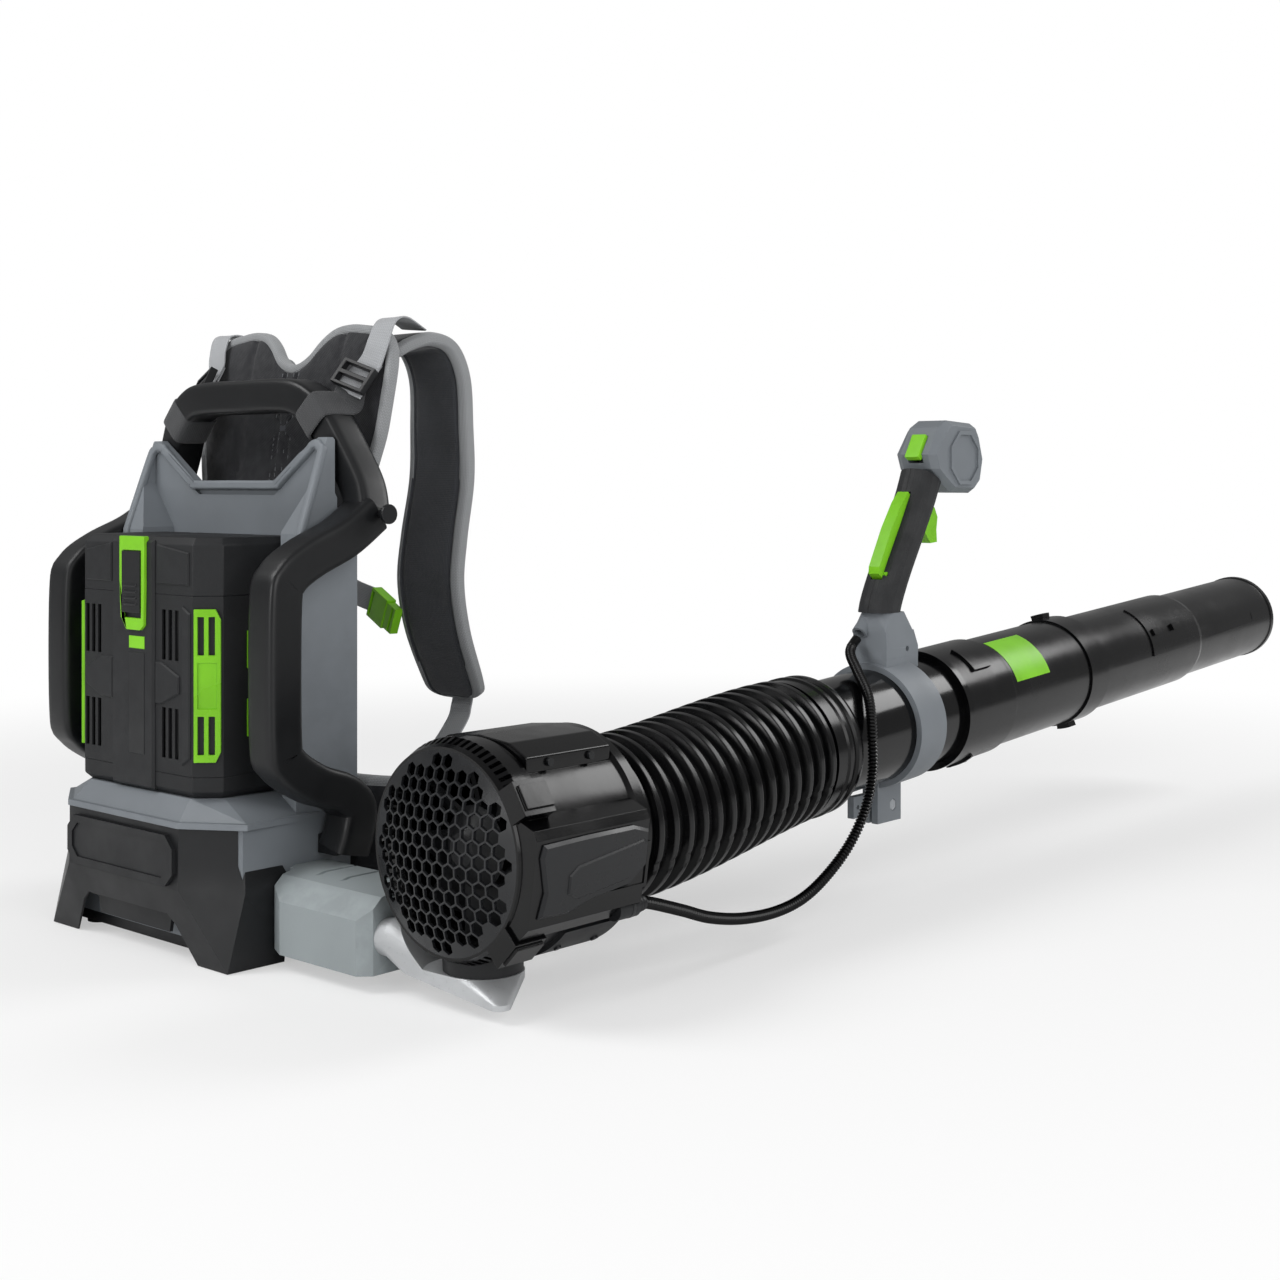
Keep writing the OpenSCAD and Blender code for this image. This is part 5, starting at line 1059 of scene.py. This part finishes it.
# small trims
def lathe(name, profile, origin, axis, columns):
    # profile is rows of radius and height along the axis, back to its start
    axis = unitRows(np.array(axis, float))
    aside = unitRows(np.cross(axis, [0.13, 0.31, 0.94]))
    third = np.cross(axis, aside)
    a = np.arange(columns) * 2 * np.pi / columns
    p = np.array(profile, float)
    ring = np.cos(a)[:, None] * aside + np.sin(a)[:, None] * third
    points = np.array(origin) + p[:, None, 1:2] * axis + p[:, None, 0:1] * ring[None]
    return outward(weave(name, points, caps=False))


def insetLoop(points, amount, leastMitre=0.35):
    # moves each side of a closed outline inwards along its mitres; the outline runs anticlockwise
    ahead = unitRows(np.roll(points, -1, 0) - points)
    normal = np.stack([-ahead[:, 1], ahead[:, 0]], 1)
    before = np.roll(normal, 1, 0)
    mitre = np.maximum(1 + np.sum(normal * before, 1, keepdims=True), leastMitre)
    return points + amount * (normal + before) / mitre


def bevelPlate(name, outline, place, high, bevel, body, finish, slotName):
    # a raised field with sloping sides on a flat of the object
    flat = np.array(outline, float) / 1000
    if np.sum(flat[:, 0] * np.roll(flat[:, 1], -1) - flat[:, 1] * np.roll(flat[:, 0], -1)) < 0:
        flat = flat[::-1]
    rings = [(flat, -0.0004), (flat, high - bevel), (insetLoop(flat, bevel), high)]
    points = np.stack([place(f[:, 0], f[:, 1], h) for f, h in rings])
    plate = outward(weave(name, points))
    return dress(rounded(plate, 12), body, finish, slotName)


# the flats that carry raised fields: the battery's front, and the fan's outer cover turned from the top
flats = {"batteryY": -0.073, "coverTurn": math.radians(98), "coverReach": 0.087}


def onBattery(x, z, h):
    return np.stack([x, flats["batteryY"] - h + 0 * x, z], -1)


def onCover(t, u, h):
    # along the fan's axis and down the outer cover
    turn = flats["coverTurn"]
    reach = flats["coverReach"] + h
    x, y, z = blowingLine["start"]
    return np.stack([x + u * math.cos(turn) + reach * math.sin(turn), t + y,
                     z - u * math.sin(turn) + reach * math.cos(turn)], -1)


# outline in millimetres, height, width of the sloping side; plain unless listed in fieldFinish
batteryFields = {
    "middle_band": ([(-33, 131), (27, 131), (27, 331), (-33, 331)], 0.0024, 0.0019),
    "bare_plate": ([(-7, 158), (15, 158), (15, 240), (-7, 240)], 0.0028, 0.0003),
    "charge_tag": ([(-7, 243), (15, 243), (15, 253), (-7, 253)], 0.0029, 0.0004),
    "right_waist": ([(28, 234), (36, 234), (61, 224), (61, 210), (36, 200), (28, 200)], 0.0016, 0.0012),
    "left_waist": ([(-34, 234), (-52, 234), (-75, 224), (-75, 210), (-52, 200), (-34, 200)], 0.0016, 0.0012),
    "right_border": ([(65, 154), (76, 160), (76, 274), (65, 280)], 0.0016, 0.0012),
    "cap_right": ([(30, 296), (74, 296), (74, 322), (30, 328)], 0.0014, 0.001),
    "cap_left": ([(-74, 296), (-36, 296), (-36, 328), (-74, 322)], 0.0014, 0.001),
}
plainField = ("batteryPlastic", "black_plastic")
fieldFinish = {
    "bare_plate": ("latchPlastic", "black_plastic"),
    "charge_tag": ("greenPlastic", "green_plastic"),
}
for fieldName, (outline, high, bevel) in batteryFields.items():
    finish, slotName = fieldFinish.get(fieldName, plainField)
    bevelPlate("battery_" + fieldName, outline, onBattery, high, bevel, "battery", finish, slotName)
coverFields = {
    "plate": ([(8, -29), (50, -30), (98, -30), (115, -25), (115, 2), (99, 14), (60, 18), (38, 24), (9, 23),
               (13, 5), (6, -20)], 0.0032, 0.0022),
    "bare_badge": ([(34, -4), (42, -10), (108, -19), (113, -16), (113, 0), (97, 8), (44, 14), (34, 9)],
                   0.0046, 0.0012),
}
for fieldName, (outline, high, bevel) in coverFields.items():
    bevelPlate("side_cover_" + fieldName, outline, onCover, high, bevel, "blower", "coverBlack",
               "black_plastic")
print("raised fields made")

label = {
    "patchFrom": 0.704, "patchTo": 0.768, "phiFrom": 16, "phiTo": 72, "radius": 0.0547, "thick": 0.00015,
    "rows": 12, "columns": 60,
}


def makeLabel():
    # a plain coloured patch on the middle tube
    g = label
    t = np.linspace(g["patchFrom"], g["patchTo"], g["rows"])
    phi = np.radians(np.linspace(g["phiFrom"], g["phiTo"], g["columns"]))
    t, phi = np.meshgrid(t, phi, indexing="ij")
    piece = weave("tube_label", onLine(t, g["radius"], phi), closedAround=False, caps=False)
    piece.data.materials.append(finishes["greenPlastic"])
    thick = piece.modifiers.new("thick", "SOLIDIFY")
    thick.thickness = g["thick"]
    bpy.context.view_layer.objects.active = piece
    bpy.ops.object.modifier_apply(modifier="thick")
    outward(piece)
    rounded(piece, 40)
    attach(piece, "tube")


makeLabel()
relief = {
    "spot": (0.404, 0.0728, 0.0704), "way": (0, 1, 0), "bore": 0.0051, "collar": 0.0084, "collarLong": 0.003,
    "ribs": 4, "pitch": 0.0036, "ribRadius": 0.0079, "taper": 0.0006, "mouth": 0.0055, "long": 0.0186,
    # one rib and the groove after it, from the rib's radius and start
    "ribProfile": [(0, 0), (-0.0001, 0.0022), (-0.0008, 0.0025), (-0.0008, 0.0033)],
}


def makeRelief():
    # tapered sleeve where the conduit leaves its gland, grooved round
    e = relief
    rows = [(e["bore"], 0), (e["collar"], 0), (e["collar"], e["collarLong"])]
    for k in range(e["ribs"]):
        r, h = e["ribRadius"] - e["taper"] * k, e["pitch"] * (1 + k)
        rows += [(r + out, h + on) for out, on in e["ribProfile"]]
    rows += [(e["mouth"], e["long"]), (e["bore"], e["long"]), (e["bore"], 0)]
    sleeve = lathe("conduit_relief_blower", rows, e["spot"], e["way"], 28)
    rounded(sleeve, 50)
    dress(sleeve, "blower", "blackPlastic", "hose_plastic")


makeRelief()
print("trims made")

# floor, backdrop and lamps
studio = {
    "floor": "#f2f2f2", "floorHalf": 14, "world": 0.3, "aim": (0.2, 0.35, 0.2),
    # the floor fades to white round its middle, between two distances
    "middle": (0.17, 0.42), "whiteFrom": 0.75, "whiteTo": 1.9, "whiteNear": 0.45,
    # name, place, size, power, form
    "lamps": [("key", (-0.9, -1.5, 2.3), 1.6, 40, "DISK"), ("fill", (2.4, -0.6, 1.1), 1.8, 27, "DISK"),
              ("rim", (1.3, 2.4, 1.9), 1.4, 30, "DISK"), ("strip", (0.1, -2.2, 0.7), 0.7, 12, "SQUARE")],
}


def makeFloor():
    s = studio
    ends = (-s["floorHalf"], s["floorHalf"])
    corners = np.array([[(x, y, 0.0) for x in ends] for y in ends])
    floor = weave("floor", corners, closedAround=False, caps=False)
    f = Finish("floorPaper")
    f.close(Base_Color=linear(s["floor"]), Roughness=0.9)
    glow = f.node("ShaderNodeEmission", None, {"Color": (1, 1, 1, 1), "Strength": 1.0})
    # the paper fades to plain white away from the object
    x, y, _ = f.axes()
    away = ((x - s["middle"][0]) ** 2 + (y - s["middle"][1]) ** 2) ** 0.5
    seen = f.node("ShaderNodeLightPath", out="Is Camera Ray")
    blendAmount = seen * away.spread(s["whiteFrom"], s["whiteTo"], s["whiteNear"], 1.0)
    mixed = f.node("ShaderNodeMixShader", None, {0: blendAmount, 1: Wire(f, f.shader.outputs[0]), 2: glow})
    f.tree.links.new(mixed.socket, f.output.inputs[0])
    floor.data.materials.append(f.material)


def makeWorld():
    # plain white to the camera, dimmer as a light
    world = bpy.data.worlds.new("studio")
    world.use_nodes = True
    bpy.context.scene.world = world
    tree = world.node_tree
    tree.nodes.clear()
    light = tree.nodes.new("ShaderNodeLightPath")
    pick = tree.nodes.new("ShaderNodeMath")
    pick.operation = "MAXIMUM"
    tree.links.new(light.outputs["Is Camera Ray"], pick.inputs[0])
    tree.links.new(light.outputs["Is Transmission Ray"], pick.inputs[1])
    level = tree.nodes.new("ShaderNodeMapRange")
    level.inputs[3].default_value = studio["world"]
    level.inputs[4].default_value = 1.0
    tree.links.new(pick.outputs[0], level.inputs[0])
    back = tree.nodes.new("ShaderNodeBackground")
    back.inputs["Color"].default_value = (1, 1, 1, 1)
    tree.links.new(level.outputs[0], back.inputs["Strength"])
    out = tree.nodes.new("ShaderNodeOutputWorld")
    tree.links.new(back.outputs[0], out.inputs[0])


def makeLamps():
    aim = Vector(studio["aim"])
    for name, place, size, power, form in studio["lamps"]:
        data = bpy.data.lights.new(name, "AREA")
        data.shape = form
        data.size = size
        data.energy = power
        lamp = bpy.data.objects.new(name, data)
        lamp.location = place
        lamp.rotation_euler = (aim - Vector(place)).to_track_quat("-Z", "Y").to_euler()
        bpy.context.scene.collection.objects.link(lamp)


makeFloor()
makeWorld()
makeLamps()
bpy.context.scene.view_settings.view_transform = "Standard"
print("studio set")
